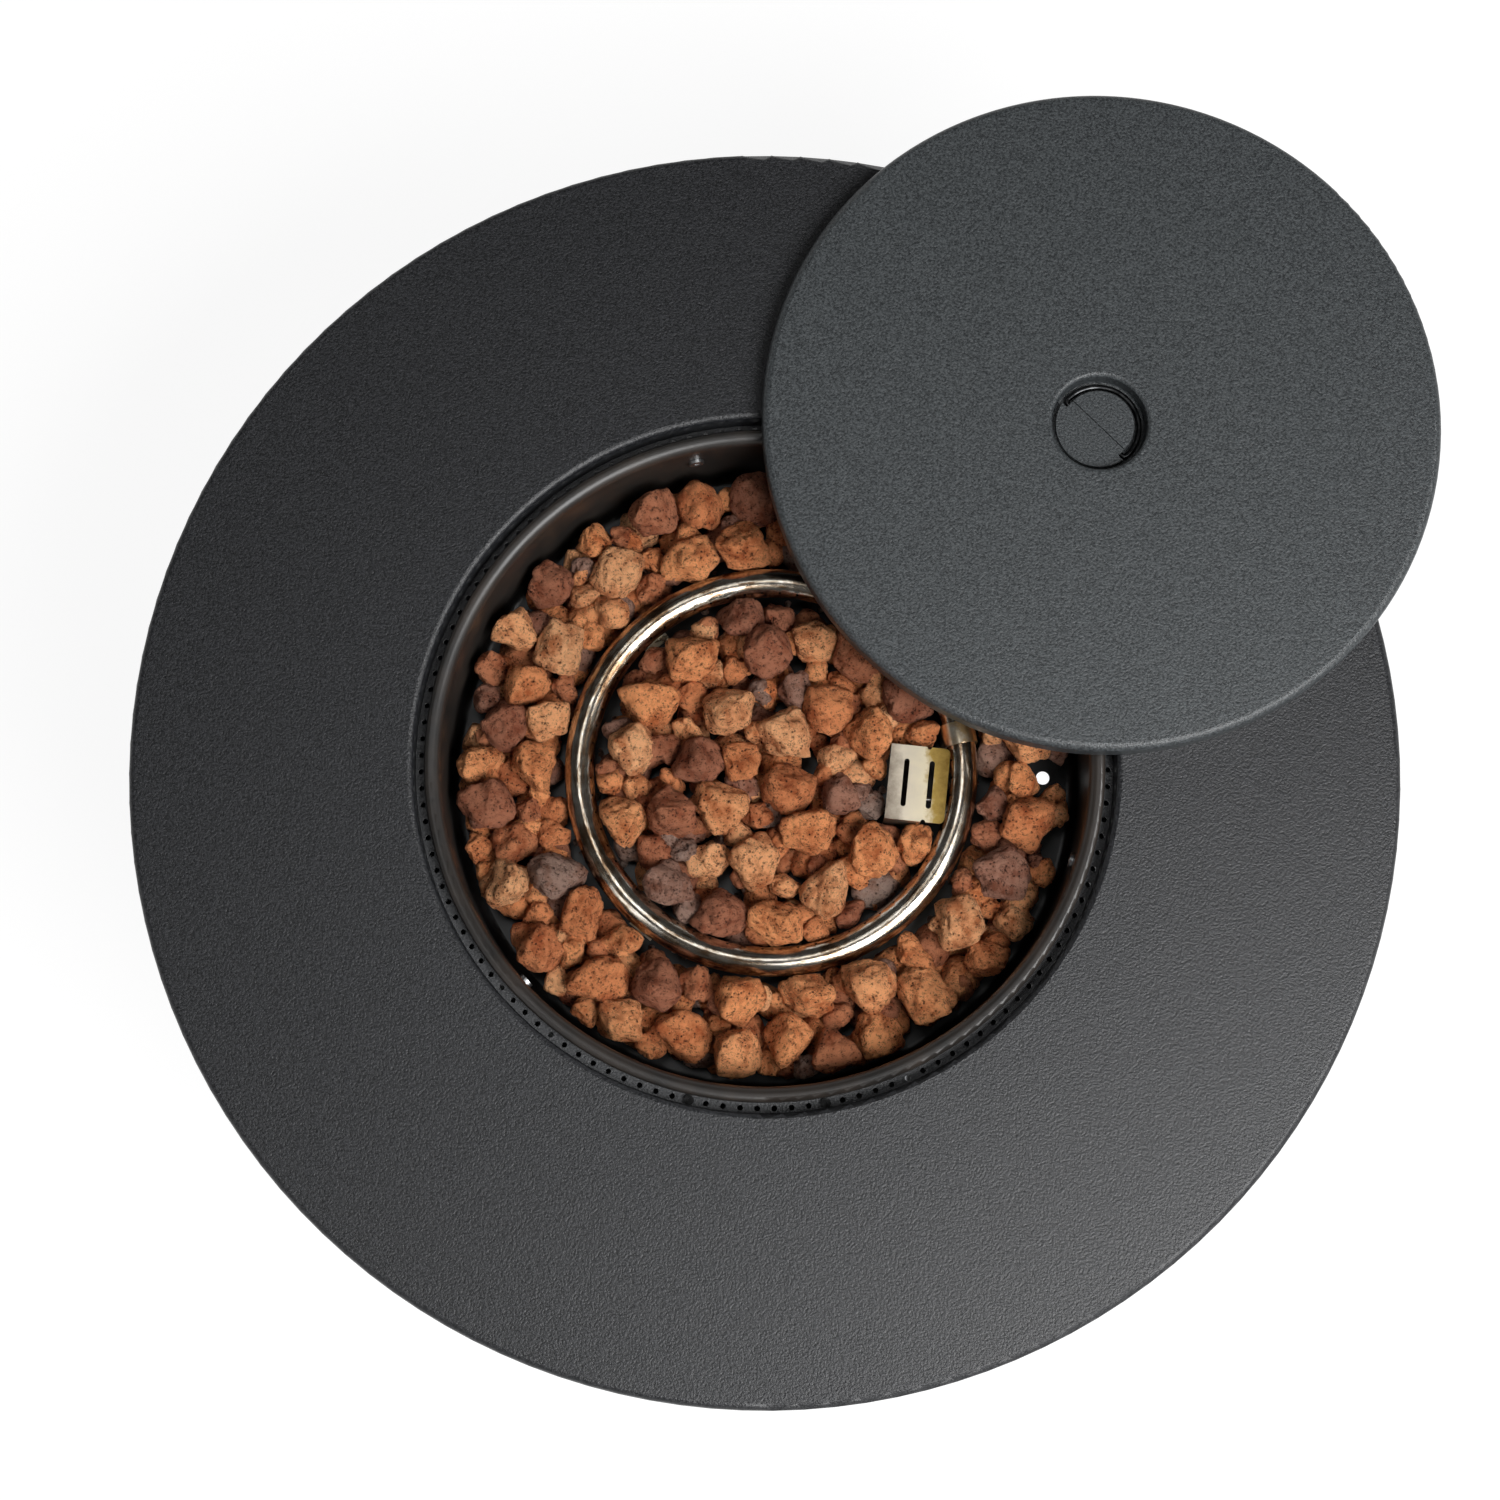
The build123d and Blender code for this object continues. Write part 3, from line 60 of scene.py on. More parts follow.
def add(tree, kind, links=None, stops=(), **settings):
    """Adds a node with its settings, colour stops, and the sockets or values that feed it."""
    node = tree.nodes.new(kind)
    for name, value in settings.items():
        setattr(node, name, value)
    for k, (place, code) in enumerate(stops):
        element = node.color_ramp.elements[k] if k < 2 else node.color_ramp.elements.new(place)
        element.position = place
        element.color = linear(code)
    for socket, source in (links or {}).items():
        if isinstance(source, bpy.types.NodeSocket):
            tree.links.new(source, node.inputs[socket])
        else:
            node.inputs[socket].default_value = source
    return node


def new_material(name, values):
    """A principled material whose constants sit on the shader's own sockets."""
    material = bpy.data.materials.new(name)
    material.use_nodes = True
    tree = material.node_tree
    shader = tree.nodes["Principled BSDF"]
    for socket, value in values.items():
        shader.inputs[socket].default_value = value
    place = add(tree, "ShaderNodeTexCoord").outputs["Object"]
    return material, tree, shader, place


# Powder coat: paint baked from powder, so the steel shows a fine dull grain with pale glints
def powder_coat(name, dark, light):
    material, tree, shader, place = new_material(name, {"IOR": 1.5})
    grain_mm = 1.7  # real grain is nearer 0.3 mm, drawn coarser so that it shows
    grain = add(
        tree,
        "ShaderNodeTexNoise",
        {"Vector": place, "Scale": per_metre(grain_mm), "Detail": 2.0, "Roughness": 0.7},
    ).outputs["Fac"]
    color = add(tree, "ShaderNodeValToRGB", {"Fac": grain}, stops=((0.36, dark), (0.66, light)))
    dull = add(tree, "ShaderNodeMapRange", {"Value": grain, "To Min": 0.3, "To Max": 0.52})
    bump = add(tree, "ShaderNodeBump", {"Height": grain, "Strength": 0.9, "Distance": 0.0006})
    tree.links.new(color.outputs["Color"], shader.inputs["Base Color"])
    tree.links.new(dull.outputs["Result"], shader.inputs["Roughness"])
    tree.links.new(bump.outputs["Normal"], shader.inputs["Normal"])
    return material


# Heat paint: smooth satin black with a little brown dust, turning to near-black painted shade just above the
# floor
def heat_paint(name, floor_z):
    material, tree, shader, place = new_material(name, {"IOR": 1.5})
    # Height over which the painted shade at the floor fades into the paint's own colour
    floor_shade_height = 0.03
    dust = add(
        tree,
        "ShaderNodeTexNoise",
        {"Vector": place, "Scale": per_metre(45), "Detail": 5.0, "Roughness": 0.6},
    ).outputs["Fac"]
    color = add(tree, "ShaderNodeValToRGB", {"Fac": dust}, stops=((0.35, "#1e1d1c"), (0.75, "#332c27")))
    satin = add(tree, "ShaderNodeMapRange", {"Value": dust, "To Min": 0.3, "To Max": 0.46})
    height = add(tree, "ShaderNodeSeparateXYZ", {"Vector": place}).outputs["Z"]
    clean = add(
        tree,
        "ShaderNodeMapRange",
        {"Value": height, "From Min": floor_z, "From Max": floor_z + floor_shade_height},
    )
    # Painted shade: the colour goes to near-black towards the bowl's floor, standing in for the stones'
    # shadow there; the mask is 0 at the floor and 1 at the top of the band
    floor_shaded = add(
        tree,
        "ShaderNodeMix",
        {0: clean.outputs["Result"], 6: linear("#060505"), 7: color.outputs["Color"]},
        data_type="RGBA",
    )
    tree.links.new(floor_shaded.outputs[2], shader.inputs["Base Color"])
    tree.links.new(satin.outputs["Result"], shader.inputs["Roughness"])
    return material


# Stainless that has been in the fire: grey metal, browned in patches where flames have licked it
def stained_stainless(name, clean, straw, burnt, patch_mm, smooth, rough):
    material, tree, shader, place = new_material(name, {"Metallic": 1.0})
    patch = add(
        tree,
        "ShaderNodeTexNoise",
        {"Vector": place, "Scale": per_metre(patch_mm), "Detail": 6.0, "Roughness": 0.65},
    ).outputs["Fac"]
    color = add(
        tree, "ShaderNodeValToRGB", {"Fac": patch}, stops=((0.46, clean), (0.72, burnt), (0.58, straw))
    )
    dull = add(
        tree, "ShaderNodeMapRange", {"Value": patch, "From Min": 0.3, "To Min": smooth, "To Max": rough}
    )
    tree.links.new(color.outputs["Color"], shader.inputs["Base Color"])
    tree.links.new(dull.outputs["Result"], shader.inputs["Roughness"])
    return material


# Drawn stainless tube: bright metal with long brown streaks and patches, dulled along the pull of the die
def fired_tube(name, middle_x):
    material, tree, shader, place = new_material(name, {"Metallic": 1.0})
    streak_radius = 0.02  # less than the ring's own, which draws the streaks out along the tube
    axes = add(tree, "ShaderNodeSeparateXYZ", {"Vector": place}).outputs
    from_middle = add(
        tree, "ShaderNodeMath", {0: axes["X"], 1: middle_x}, operation="SUBTRACT"
    ).outputs["Value"]
    turn = add(tree, "ShaderNodeMath", {0: axes["Y"], 1: from_middle}, operation="ARCTAN2").outputs["Value"]
    along = add(tree, "ShaderNodeMath", {0: turn, 1: streak_radius}, operation="MULTIPLY").outputs["Value"]
    flat = add(tree, "ShaderNodeCombineXYZ", {"X": from_middle, "Y": axes["Y"]}).outputs["Vector"]
    reach = add(tree, "ShaderNodeVectorMath", {0: flat}, operation="LENGTH").outputs["Value"]
    drawn = add(tree, "ShaderNodeCombineXYZ", {"X": along, "Y": reach, "Z": axes["Z"]}).outputs["Vector"]
    streak = add(
        tree,
        "ShaderNodeTexNoise",
        {"Vector": drawn, "Scale": per_metre(2.4), "Detail": 5.0, "Roughness": 0.7},
    ).outputs["Fac"]
    patch = add(
        tree,
        "ShaderNodeTexNoise",
        {"Vector": place, "Scale": per_metre(34), "Detail": 6.0, "Roughness": 0.7},
    ).outputs["Fac"]
    both = add(tree, "ShaderNodeMath", {0: streak, 1: patch}, operation="ADD").outputs["Value"]
    stain = add(tree, "ShaderNodeMath", {0: both, 1: 0.5}, operation="MULTIPLY").outputs["Value"]
    color = add(
        tree,
        "ShaderNodeValToRGB",
        {"Fac": stain},
        stops=((0.42, "#d2cbc0"), (0.66, "#3c281a"), (0.5, "#b3a797"), (0.56, "#7d664f")),
    )
    dull = add(tree, "ShaderNodeMapRange", {"Value": streak, "From Min": 0.3, "To Min": 0.1, "To Max": 0.38})
    bump = add(tree, "ShaderNodeBump", {"Height": streak, "Strength": 0.25, "Distance": 0.0004})
    tree.links.new(color.outputs["Color"], shader.inputs["Base Color"])
    tree.links.new(dull.outputs["Result"], shader.inputs["Roughness"])
    tree.links.new(bump.outputs["Normal"], shader.inputs["Normal"])
    return material


# Heat-tinted sheet: stainless whose colour runs from grey over cream to gold, away from the flame
def heat_tinted(name, first, last):
    material, tree, shader, place = new_material(name, {"Metallic": 1.0})
    across = add(tree, "ShaderNodeSeparateXYZ", {"Vector": place}).outputs["X"]
    haze = add(
        tree,
        "ShaderNodeTexNoise",
        {"Vector": place, "Scale": per_metre(9), "Detail": 6.0, "Roughness": 0.7},
    ).outputs["Fac"]
    way = add(tree, "ShaderNodeMapRange", {"Value": across, "From Min": first, "From Max": last})
    cloud = add(tree, "ShaderNodeMapRange", {"Value": haze, "To Min": -0.22, "To Max": 0.22})
    drift = add(
        tree, "ShaderNodeMath", {0: way.outputs["Result"], 1: cloud.outputs["Result"]}, operation="ADD"
    ).outputs["Value"]
    tint = add(
        tree,
        "ShaderNodeValToRGB",
        {"Fac": drift},
        stops=((0.0, "#7d7064"), (1.0, "#6b5427"), (0.32, "#d2c7b4"), (0.6, "#e0d4b8"), (0.74, "#a68b4c")),
    )
    dull = add(tree, "ShaderNodeMapRange", {"Value": haze, "To Min": 0.3, "To Max": 0.5})
    tree.links.new(tint.outputs["Color"], shader.inputs["Base Color"])
    tree.links.new(dull.outputs["Result"], shader.inputs["Roughness"])
    return material


# Plain metals: plated, turned, cast or drawn, with fine uneven dullness
def worked_metal(name, bright, dim, smooth, rough, mark_mm):
    material, tree, shader, place = new_material(name, {"Metallic": 1.0})
    mark = add(
        tree,
        "ShaderNodeTexNoise",
        {"Vector": place, "Scale": per_metre(mark_mm), "Detail": 4.0, "Roughness": 0.6},
    ).outputs["Fac"]
    color = add(tree, "ShaderNodeValToRGB", {"Fac": mark}, stops=((0.35, dim), (0.65, bright)))
    dull = add(tree, "ShaderNodeMapRange", {"Value": mark, "To Min": rough, "To Max": smooth})
    tree.links.new(color.outputs["Color"], shader.inputs["Base Color"])
    tree.links.new(dull.outputs["Result"], shader.inputs["Roughness"])
    return material


# Moulded and fired dull materials: plastic, rubber and ceramic, with a faint surface texture
def moulded(name, dark, light, roughness, texture_mm):
    material, tree, shader, place = new_material(name, {"Roughness": roughness, "IOR": 1.5})
    texture = add(
        tree,
        "ShaderNodeTexNoise",
        {"Vector": place, "Scale": per_metre(texture_mm), "Detail": 3.0},
    ).outputs["Fac"]
    color = add(tree, "ShaderNodeValToRGB", {"Fac": texture}, stops=((0.35, dark), (0.65, light)))
    bump = add(tree, "ShaderNodeBump", {"Height": texture, "Strength": 0.2, "Distance": 0.0003})
    tree.links.new(color.outputs["Color"], shader.inputs["Base Color"])
    tree.links.new(bump.outputs["Normal"], shader.inputs["Normal"])
    return material


# Broken lava: dry porous stone, each piece its own brown, gritty and full of gas bubbles, with painted shade
# in the bubbles and in the grit's low points
def porous_lava(name):
    material, tree, shader, place = new_material(
        name, {"Roughness": 0.9, "IOR": 1.45, "Specular IOR Level": 0.25}
    )
    grit_height = 2.5  # against 1 for the depth of the bubbles
    tint = add(tree, "ShaderNodeAttribute", attribute_name="stone_tint").outputs["Fac"]
    body = add(
        tree,
        "ShaderNodeValToRGB",
        {"Fac": tint},
        stops=((0.0, "#a58d80"), (1.0, "#ffbf8a"), (0.14, "#b37458"), (0.4, "#e6925f"), (0.7, "#ffab70")),
    ).outputs["Color"]
    mottle = add(
        tree,
        "ShaderNodeTexNoise",
        {"Vector": place, "Scale": per_metre(15), "Detail": 5.0, "Roughness": 0.65},
    ).outputs["Fac"]
    shade = add(tree, "ShaderNodeValToRGB", {"Fac": mottle}, stops=((0.34, "#c09f8d"), (0.56, "#ffffff")))
    mottled = add(
        tree,
        "ShaderNodeMix",
        {0: 1.0, 6: body, 7: shade.outputs["Color"]},
        data_type="RGBA",
        blend_type="MULTIPLY",
    )
    grit = add(
        tree,
        "ShaderNodeTexNoise",
        {"Vector": place, "Scale": per_metre(4), "Detail": 6.0, "Roughness": 0.85},
    ).outputs["Fac"]
    # Painted shade: the grit's low points, which are also the dips of its bump, are darkened as though
    # shaded; the grit itself is the stone's own texture
    grit_hollow_shade = add(tree, "ShaderNodeValToRGB", {"Fac": grit}, stops=((0.36, "#37231a"), (0.48, "#ffffff")))
    gritty = add(
        tree,
        "ShaderNodeMix",
        {0: 1.0, 6: mottled.outputs[2], 7: grit_hollow_shade.outputs["Color"]},
        data_type="RGBA",
        blend_type="MULTIPLY",
    )
    bubbles = add(
        tree,
        "ShaderNodeTexVoronoi",
        {"Vector": place, "Scale": per_metre(3.4), "Randomness": 1.0},
    ).outputs["Distance"]
    hollow = add(tree, "ShaderNodeMapRange", {"Value": bubbles, "From Min": 0.1, "From Max": 0.3})
    solid = add(tree, "ShaderNodeMapRange", {"Value": mottle, "From Min": 0.42, "From Max": 0.62})
    shell = add(
        tree, "ShaderNodeMath", {0: hollow.outputs["Result"], 1: solid.outputs["Result"]}, operation="MAXIMUM"
    ).outputs["Value"]
    # Painted shade: inside the bubbles the colour goes to a near-black brown, the shade in the holes that the
    # bump also sinks
    color = add(
        tree,
        "ShaderNodeMix",
        {0: shell, 6: linear("#33190f"), 7: gritty.outputs[2]},
        data_type="RGBA",
    )
    height = add(
        tree, "ShaderNodeMath", {0: grit, 1: grit_height, 2: shell}, operation="MULTIPLY_ADD"
    ).outputs["Value"]
    bump = add(tree, "ShaderNodeBump", {"Height": height, "Strength": 1.0, "Distance": 0.002})
    tree.links.new(color.outputs[2], shader.inputs["Base Color"])
    tree.links.new(bump.outputs["Normal"], shader.inputs["Normal"])
    return material


ring_x = 0.005
bowl_floor = 0.3595
finishes = {
    "powder_coat": powder_coat("powder_coated_steel", "#0e0f11", "#292a2d"),
    "lid_coat": powder_coat("powder_coated_lid_steel", "#212426", "#464a4c"),
    "bowl_enamel": heat_paint("heat_painted_steel", bowl_floor),
    "stainless_tube": fired_tube("drawn_stainless_tube", ring_x),
    "stainless_sheet": stained_stainless(
        "rolled_stainless_sheet", "#d8cfbd", "#b99b70", "#7d5a36", patch_mm=40, smooth=0.25, rough=0.5
    ),
    "steel_rod": worked_metal("drawn_steel_wire", "#c4c3c0", "#8f8d89", smooth=0.2, rough=0.4, mark_mm=9),
    "zinc_steel": worked_metal(
        "zinc_plated_steel", "#d2d3d3", "#a5a7a8", smooth=0.25, rough=0.45, mark_mm=5
    ),
    "black_screw": worked_metal(
        "black_oxide_steel", "#2a2a2a", "#151515", smooth=0.35, rough=0.55, mark_mm=4
    ),
    "brass": worked_metal("turned_brass", "#d3b067", "#a98743", smooth=0.22, rough=0.42, mark_mm=7),
    "cast_aluminium": worked_metal(
        "cast_aluminium", "#c6c8c9", "#9c9fa1", smooth=0.35, rough=0.55, mark_mm=4
    ),
    "alumina": moulded("fired_alumina", "#dfd9cc", "#f1ede4", roughness=0.35, texture_mm=3),
    "knob_plastic": moulded("moulded_black_plastic", "#0e0e0f", "#18181a", roughness=0.42, texture_mm=1.5),
    "lead_rubber": moulded("silicone_rubber", "#4a1a14", "#5e241c", roughness=0.55, texture_mm=2),
    "copper_sleeve": worked_metal("drawn_copper", "#c98a63", "#9c6244", smooth=0.25, rough=0.4, mark_mm=8),
    "foot_rubber": moulded("moulded_rubber", "#0d0d0d", "#1a1a1a", roughness=0.7, texture_mm=2),
    "lava_stone": porous_lava("porous_lava"),
}
shield_points = [corner.co for corner in nodes["igniter_shield"].data.vertices]
shield_low = [min(point[axis] for point in shield_points) for axis in range(3)]
shield_high = [max(point[axis] for point in shield_points) for axis in range(3)]
own_finishes = {
    "igniter_shield": heat_tinted("heat_tinted_stainless_sheet", shield_low[0], shield_high[0]),
    # Painted shade: the bracket is coloured near-black, so that the shield's slot in front of it stays dark
    "ignition_bracket": worked_metal(
        "near_black_steel_sheet_painted_shade", "#2b2520", "#120f0d", smooth=0.45, rough=0.7, mark_mm=8
    ),
    # Painted light: the ledge is a lighter grey than the black coat it has, standing in for light that
    # reaches the gap round the bowl
    "vent_ledge": powder_coat("grey_ledge_steel_painted_light", "#333436", "#48494b"),
    "pull_bail": worked_metal(
        "blackened_steel_wire", "#4a4b4c", "#1d1e1f", smooth=0.22, rough=0.42, mark_mm=6
    ),
    "knob_bezel": worked_metal(
        "spun_stainless_sheet", "#c9c8c5", "#a9a8a5", smooth=0.3, rough=0.45, mark_mm=5
    ),
}
for entry in frame["record"]["subparts"]:
    for slot in nodes[entry["node"]].material_slots:
        slot.material = own_finishes.get(entry["node"], finishes[entry["material_slot"]])


def new_tree(name, inputs):
    """A geometry tree with its named inputs, and the sockets that carry them."""
    tree = bpy.data.node_groups.new(name, "GeometryNodeTree")
    tree.interface.new_socket("Geometry", in_out="INPUT", socket_type="NodeSocketGeometry")
    for label, kind in inputs.items():
        tree.interface.new_socket(label, in_out="INPUT", socket_type=kind)
    tree.interface.new_socket("Geometry", in_out="OUTPUT", socket_type="NodeSocketGeometry")
    return tree, tree.nodes.new("NodeGroupInput").outputs


def close_tree(tree, geometry, material):
    """Ends a tree in real geometry with its material."""
    real = add(tree, "GeometryNodeRealizeInstances", {"Geometry": geometry})
    dressed = add(
        tree, "GeometryNodeSetMaterial", {"Geometry": real.outputs["Geometry"], "Material": material}
    )
    add(tree, "NodeGroupOutput", {"Geometry": dressed.outputs["Geometry"]})


def grow(name, tree, mesh, values, body):
    """Runs a tree on a mesh and keeps the result as a plain mesh that rides on a body."""
    carrier = bpy.data.objects.new(name + "_start", mesh)
    scene.collection.objects.link(carrier)
    modifier = carrier.modifiers.new(name, "NODES")
    modifier.node_group = tree
    for item in tree.interface.items_tree:
        if item.in_out == "INPUT" and item.name in values:
            modifier[item.identifier] = values[item.name]
    graph = bpy.context.evaluated_depsgraph_get()
    made = bpy.data.meshes.new_from_object(
        carrier.evaluated_get(graph), preserve_all_data_layers=True, depsgraph=graph
    )
    bpy.data.objects.remove(carrier)
    piece = bpy.data.objects.new(name, made)
    scene.collection.objects.link(piece)
    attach(piece, body)
    return piece


def merged_copy(node):
    """A copy of a CAD node's mesh with its loose triangles joined."""
    join_distance = 0.00005
    shape = bmesh.new()
    shape.from_mesh(nodes[node].data)
    bmesh.ops.remove_doubles(shape, verts=shape.verts, dist=join_distance)
    mesh = bpy.data.meshes.new(node + "_copy")
    shape.to_mesh(mesh)
    shape.free()
    return mesh


# Lava stones: each flat-faced stone is rounded, lumped, pitted and given its own tint. The outer ones are
# made in two shares, so that no piece grows too heavy
blur_rounds = 8
pit_edge = 0.45  # a pit's radius, where bubbles are about 1 apart
stone_tree, stone = new_tree(
    "Broken lava stones",
    {
        "Shares": "NodeSocketInt",
        "Share": "NodeSocketInt",
        "Detail": "NodeSocketInt",
        "Rounding": "NodeSocketFloat",
        "Swell": "NodeSocketFloat",
        "Lump Scale": "NodeSocketFloat",
        "Lump Height": "NodeSocketFloat",
        "Pit Scale": "NodeSocketFloat",
        "Pit Depth": "NodeSocketFloat",
        "Seed": "NodeSocketFloat",
        "Material": "NodeSocketMaterial",
    },
)
island = add(stone_tree, "GeometryNodeInputMeshIsland").outputs["Island Index"]
stone_share = add(stone_tree, "ShaderNodeMath", {0: island, 1: stone["Shares"]}, operation="MODULO")
elsewhere = add(
    stone_tree,
    "FunctionNodeCompare",
    {0: stone_share.outputs["Value"], 1: stone["Share"]},
    data_type="FLOAT",
    operation="NOT_EQUAL",
)
own = add(
    stone_tree,
    "GeometryNodeDeleteGeometry",
    {"Geometry": stone["Geometry"], "Selection": elsewhere.outputs["Result"]},
)
fine = add(
    stone_tree, "GeometryNodeSubdivideMesh", {"Mesh": own.outputs["Geometry"], "Level": stone["Detail"]}
)
spot = add(stone_tree, "GeometryNodeInputPosition").outputs["Position"]
blurred = add(
    stone_tree,
    "GeometryNodeBlurAttribute",
    {0: spot, "Iterations": blur_rounds},
    data_type="FLOAT_VECTOR",
)
rounded = add(
    stone_tree,
    "ShaderNodeMix",
    {0: stone["Rounding"], 4: spot, 5: blurred.outputs[0]},
    data_type="VECTOR",
)
soft = add(
    stone_tree,
    "GeometryNodeSetPosition",
    {"Geometry": fine.outputs["Mesh"], "Position": rounded.outputs[1]},
)
lumps = add(
    stone_tree,
    "ShaderNodeTexNoise",
    {"Vector": spot, "Scale": stone["Lump Scale"], "Detail": 3.0, "Roughness": 0.6},
).outputs["Fac"]
lump = add(stone_tree, "ShaderNodeMath", {0: lumps, 1: noise_middle}, operation="SUBTRACT")
raised = add(
    stone_tree,
    "ShaderNodeMath",
    {0: lump.outputs["Value"], 1: stone["Lump Height"], 2: stone["Swell"]},
    operation="MULTIPLY_ADD",
)
bubbles = add(
    stone_tree, "ShaderNodeTexVoronoi", {"Vector": spot, "Scale": stone["Pit Scale"], "Randomness": 1.0}
).outputs["Distance"]
pit = add(
    stone_tree,
    "ShaderNodeMapRange",
    {"Value": bubbles, "From Max": pit_edge, "To Min": -1.0, "To Max": 0.0},
)
carved = add(
    stone_tree,
    "ShaderNodeMath",
    {0: pit.outputs["Result"], 1: stone["Pit Depth"], 2: raised.outputs["Value"]},
    operation="MULTIPLY_ADD",
)
outward = add(
    stone_tree,
    "ShaderNodeVectorMath",
    {0: add(stone_tree, "GeometryNodeInputNormal").outputs["Normal"], "Scale": carved.outputs["Value"]},
    operation="SCALE",
)
lumped = add(
    stone_tree,
    "GeometryNodeSetPosition",
    {"Geometry": soft.outputs["Geometry"], "Offset": outward.outputs["Vector"]},
)
number = add(stone_tree, "ShaderNodeMath", {0: island, 1: stone["Seed"]}, operation="ADD")
chance = add(
    stone_tree, "ShaderNodeTexWhiteNoise", {"W": number.outputs["Value"]}, noise_dimensions="1D"
).outputs["Value"]
tinted = add(
    stone_tree,
    "GeometryNodeStoreNamedAttribute",
    {"Geometry": lumped.outputs["Geometry"], "Name": "stone_tint", "Value": chance},
    data_type="FLOAT",
    domain="POINT",
)
smooth = add(stone_tree, "GeometryNodeSetShadeSmooth", {"Geometry": tinted.outputs["Geometry"]})
close_tree(stone_tree, smooth.outputs["Geometry"], stone["Material"])

stone_values = {
    "Shares": 1,
    "Share": 0,
    "Rounding": 0.35,
    "Swell": 0.0015,
    "Lump Scale": per_metre(13),
    "Lump Height": 0.009,
    "Pit Scale": per_metre(5.5),
    "Pit Depth": 0.003,
    "Material": finishes["lava_stone"],
}
stone_pieces = {
    "lava_stones_lower": ("lava_rocks_lower", {"Detail": 2}),
    "lava_stones_inner": ("lava_rocks_inner", {"Detail": 3}),
    "lava_stones_outer_1": ("lava_rocks_outer", {"Detail": 3, "Shares": 2, "Share": 0}),
    "lava_stones_outer_2": ("lava_rocks_outer", {"Detail": 3, "Shares": 2, "Share": 1}),
}
seed_step = 1000.0  # more than the stones in any piece, so that no two pieces share their tints
for seed, (name, (node, own_values)) in enumerate(stone_pieces.items()):
    stones = grow(
        name,
        stone_tree,
        merged_copy(node),
        {**stone_values, **own_values, "Seed": seed_step * seed},
        "table",
    )
    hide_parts(node)

# Filling: more broken stones low between the others, clear of the ring, the shield and the open drain
filling_tries = 5000
filling_reach = 0.212
filling_corners = 14
filling_stretch = ((1.0, 1.35), (0.8, 1.05), (0.65, 0.9))
rise_jitter = 0.12
turn_jitter = 0.4
corner_reach = (0.85, 1.15)
golden_turn = math.pi * (3 - math.sqrt(5))
ring_reach = 0.13935
ring_room = 0.022
drain_reach = 0.206
drain_room = 0.009


def filling_stones(level, spacing, sizes, draws):
    """A mesh of rough stones at one level, no nearer to each other than the spacing."""
    shape = bmesh.new()
    placed = []
    for _ in range(filling_tries):
        reach = filling_reach * math.sqrt(draws.random())
        turn = math.tau * draws.random()
        spot = Vector((reach * math.cos(turn), reach * math.sin(turn), level))
        size = draws.uniform(*sizes)
        near_ring = abs(math.hypot(spot.x - ring_x, spot.y) - ring_reach) < ring_room
        near_shield = all(low - size < c < high + size for low, c, high in zip(shield_low, spot, shield_high))
        near_drain = math.hypot(spot.x - drain_reach, spot.y) < drain_room + size
        near_stone = any((spot - other).length < spacing for other in placed)
        if near_ring or near_shield or near_drain or near_stone:
            continue
        placed.append(spot)
        lean = Euler([math.tau * draws.random() for _ in range(3)]).to_matrix()
        stretch = Vector([draws.uniform(*span) for span in filling_stretch])
        corners = []
        for corner in range(filling_corners):
            rise = 1 - (2 * corner + 1) / filling_corners + draws.uniform(-rise_jitter, rise_jitter)
            rise = max(-1, min(1, rise))
            way = corner * golden_turn + draws.uniform(-turn_jitter, turn_jitter)
            across = math.sqrt(1 - rise * rise)
            ray = Vector((across * math.cos(way), across * math.sin(way), rise))
            point = ray * draws.uniform(*corner_reach)
            corners.append(shape.verts.new(spot + lean @ (size * point * stretch)))
        bmesh.ops.convex_hull(shape, input=corners)
    bare = [corner for corner in shape.verts if not corner.link_faces]
    bmesh.ops.delete(shape, geom=bare, context="VERTS")
    mesh = bpy.data.meshes.new("filling_stones")
    shape.to_mesh(mesh)
    shape.free()
    return mesh


filling_levels = {
    "lava_filling_low": (0.372, 0.021, (0.009, 0.0125), 41),
    "lava_filling_high": (0.387, 0.025, (0.009, 0.014), 42),
}
for name, (level, spacing, sizes, seed) in filling_levels.items():
    bed = filling_stones(level, spacing, sizes, random.Random(seed))
    bed_values = {**stone_values, "Detail": 2, "Seed": seed_step * seed}
    grow(name, stone_tree, bed, bed_values, "table")

# Crumbs: broken bits of lava that have fallen between the stones to the bowl's floor
crumb_tree, crumb = new_tree(
    "Fallen lava crumbs",
    {
        "Density": "NodeSocketFloat",
        "Least Size": "NodeSocketFloat",
        "Most Size": "NodeSocketFloat",
        "Roughness": "NodeSocketFloat",
        "Seed": "NodeSocketInt",
        "Material": "NodeSocketMaterial",
    },
)
crumb_spots = add(
    crumb_tree,
    "GeometryNodeDistributePointsOnFaces",
    {"Mesh": crumb["Geometry"], "Density": crumb["Density"], "Seed": crumb["Seed"]},
)
crumb_size = add(
    crumb_tree,
    "FunctionNodeRandomValue",
    {2: crumb["Least Size"], 3: crumb["Most Size"], "Seed": crumb["Seed"]},
    data_type="FLOAT",
)
crumb_turn = add(
    crumb_tree,
    "FunctionNodeRandomValue",
    {1: (math.tau, math.tau, math.tau), "Seed": crumb["Seed"]},
    data_type="FLOAT_VECTOR",
)
bit = add(crumb_tree, "GeometryNodeMeshIcoSphere", {"Radius": 1.0, "Subdivisions": 2})
crumbs = add(
    crumb_tree,
    "GeometryNodeInstanceOnPoints",
    {
        "Points": crumb_spots.outputs["Points"],
        "Instance": bit.outputs["Mesh"],
        "Rotation": crumb_turn.outputs[0],
        "Scale": crumb_size.outputs[1],
    },
)
loose = add(crumb_tree, "GeometryNodeRealizeInstances", {"Geometry": crumbs.outputs["Instances"]})
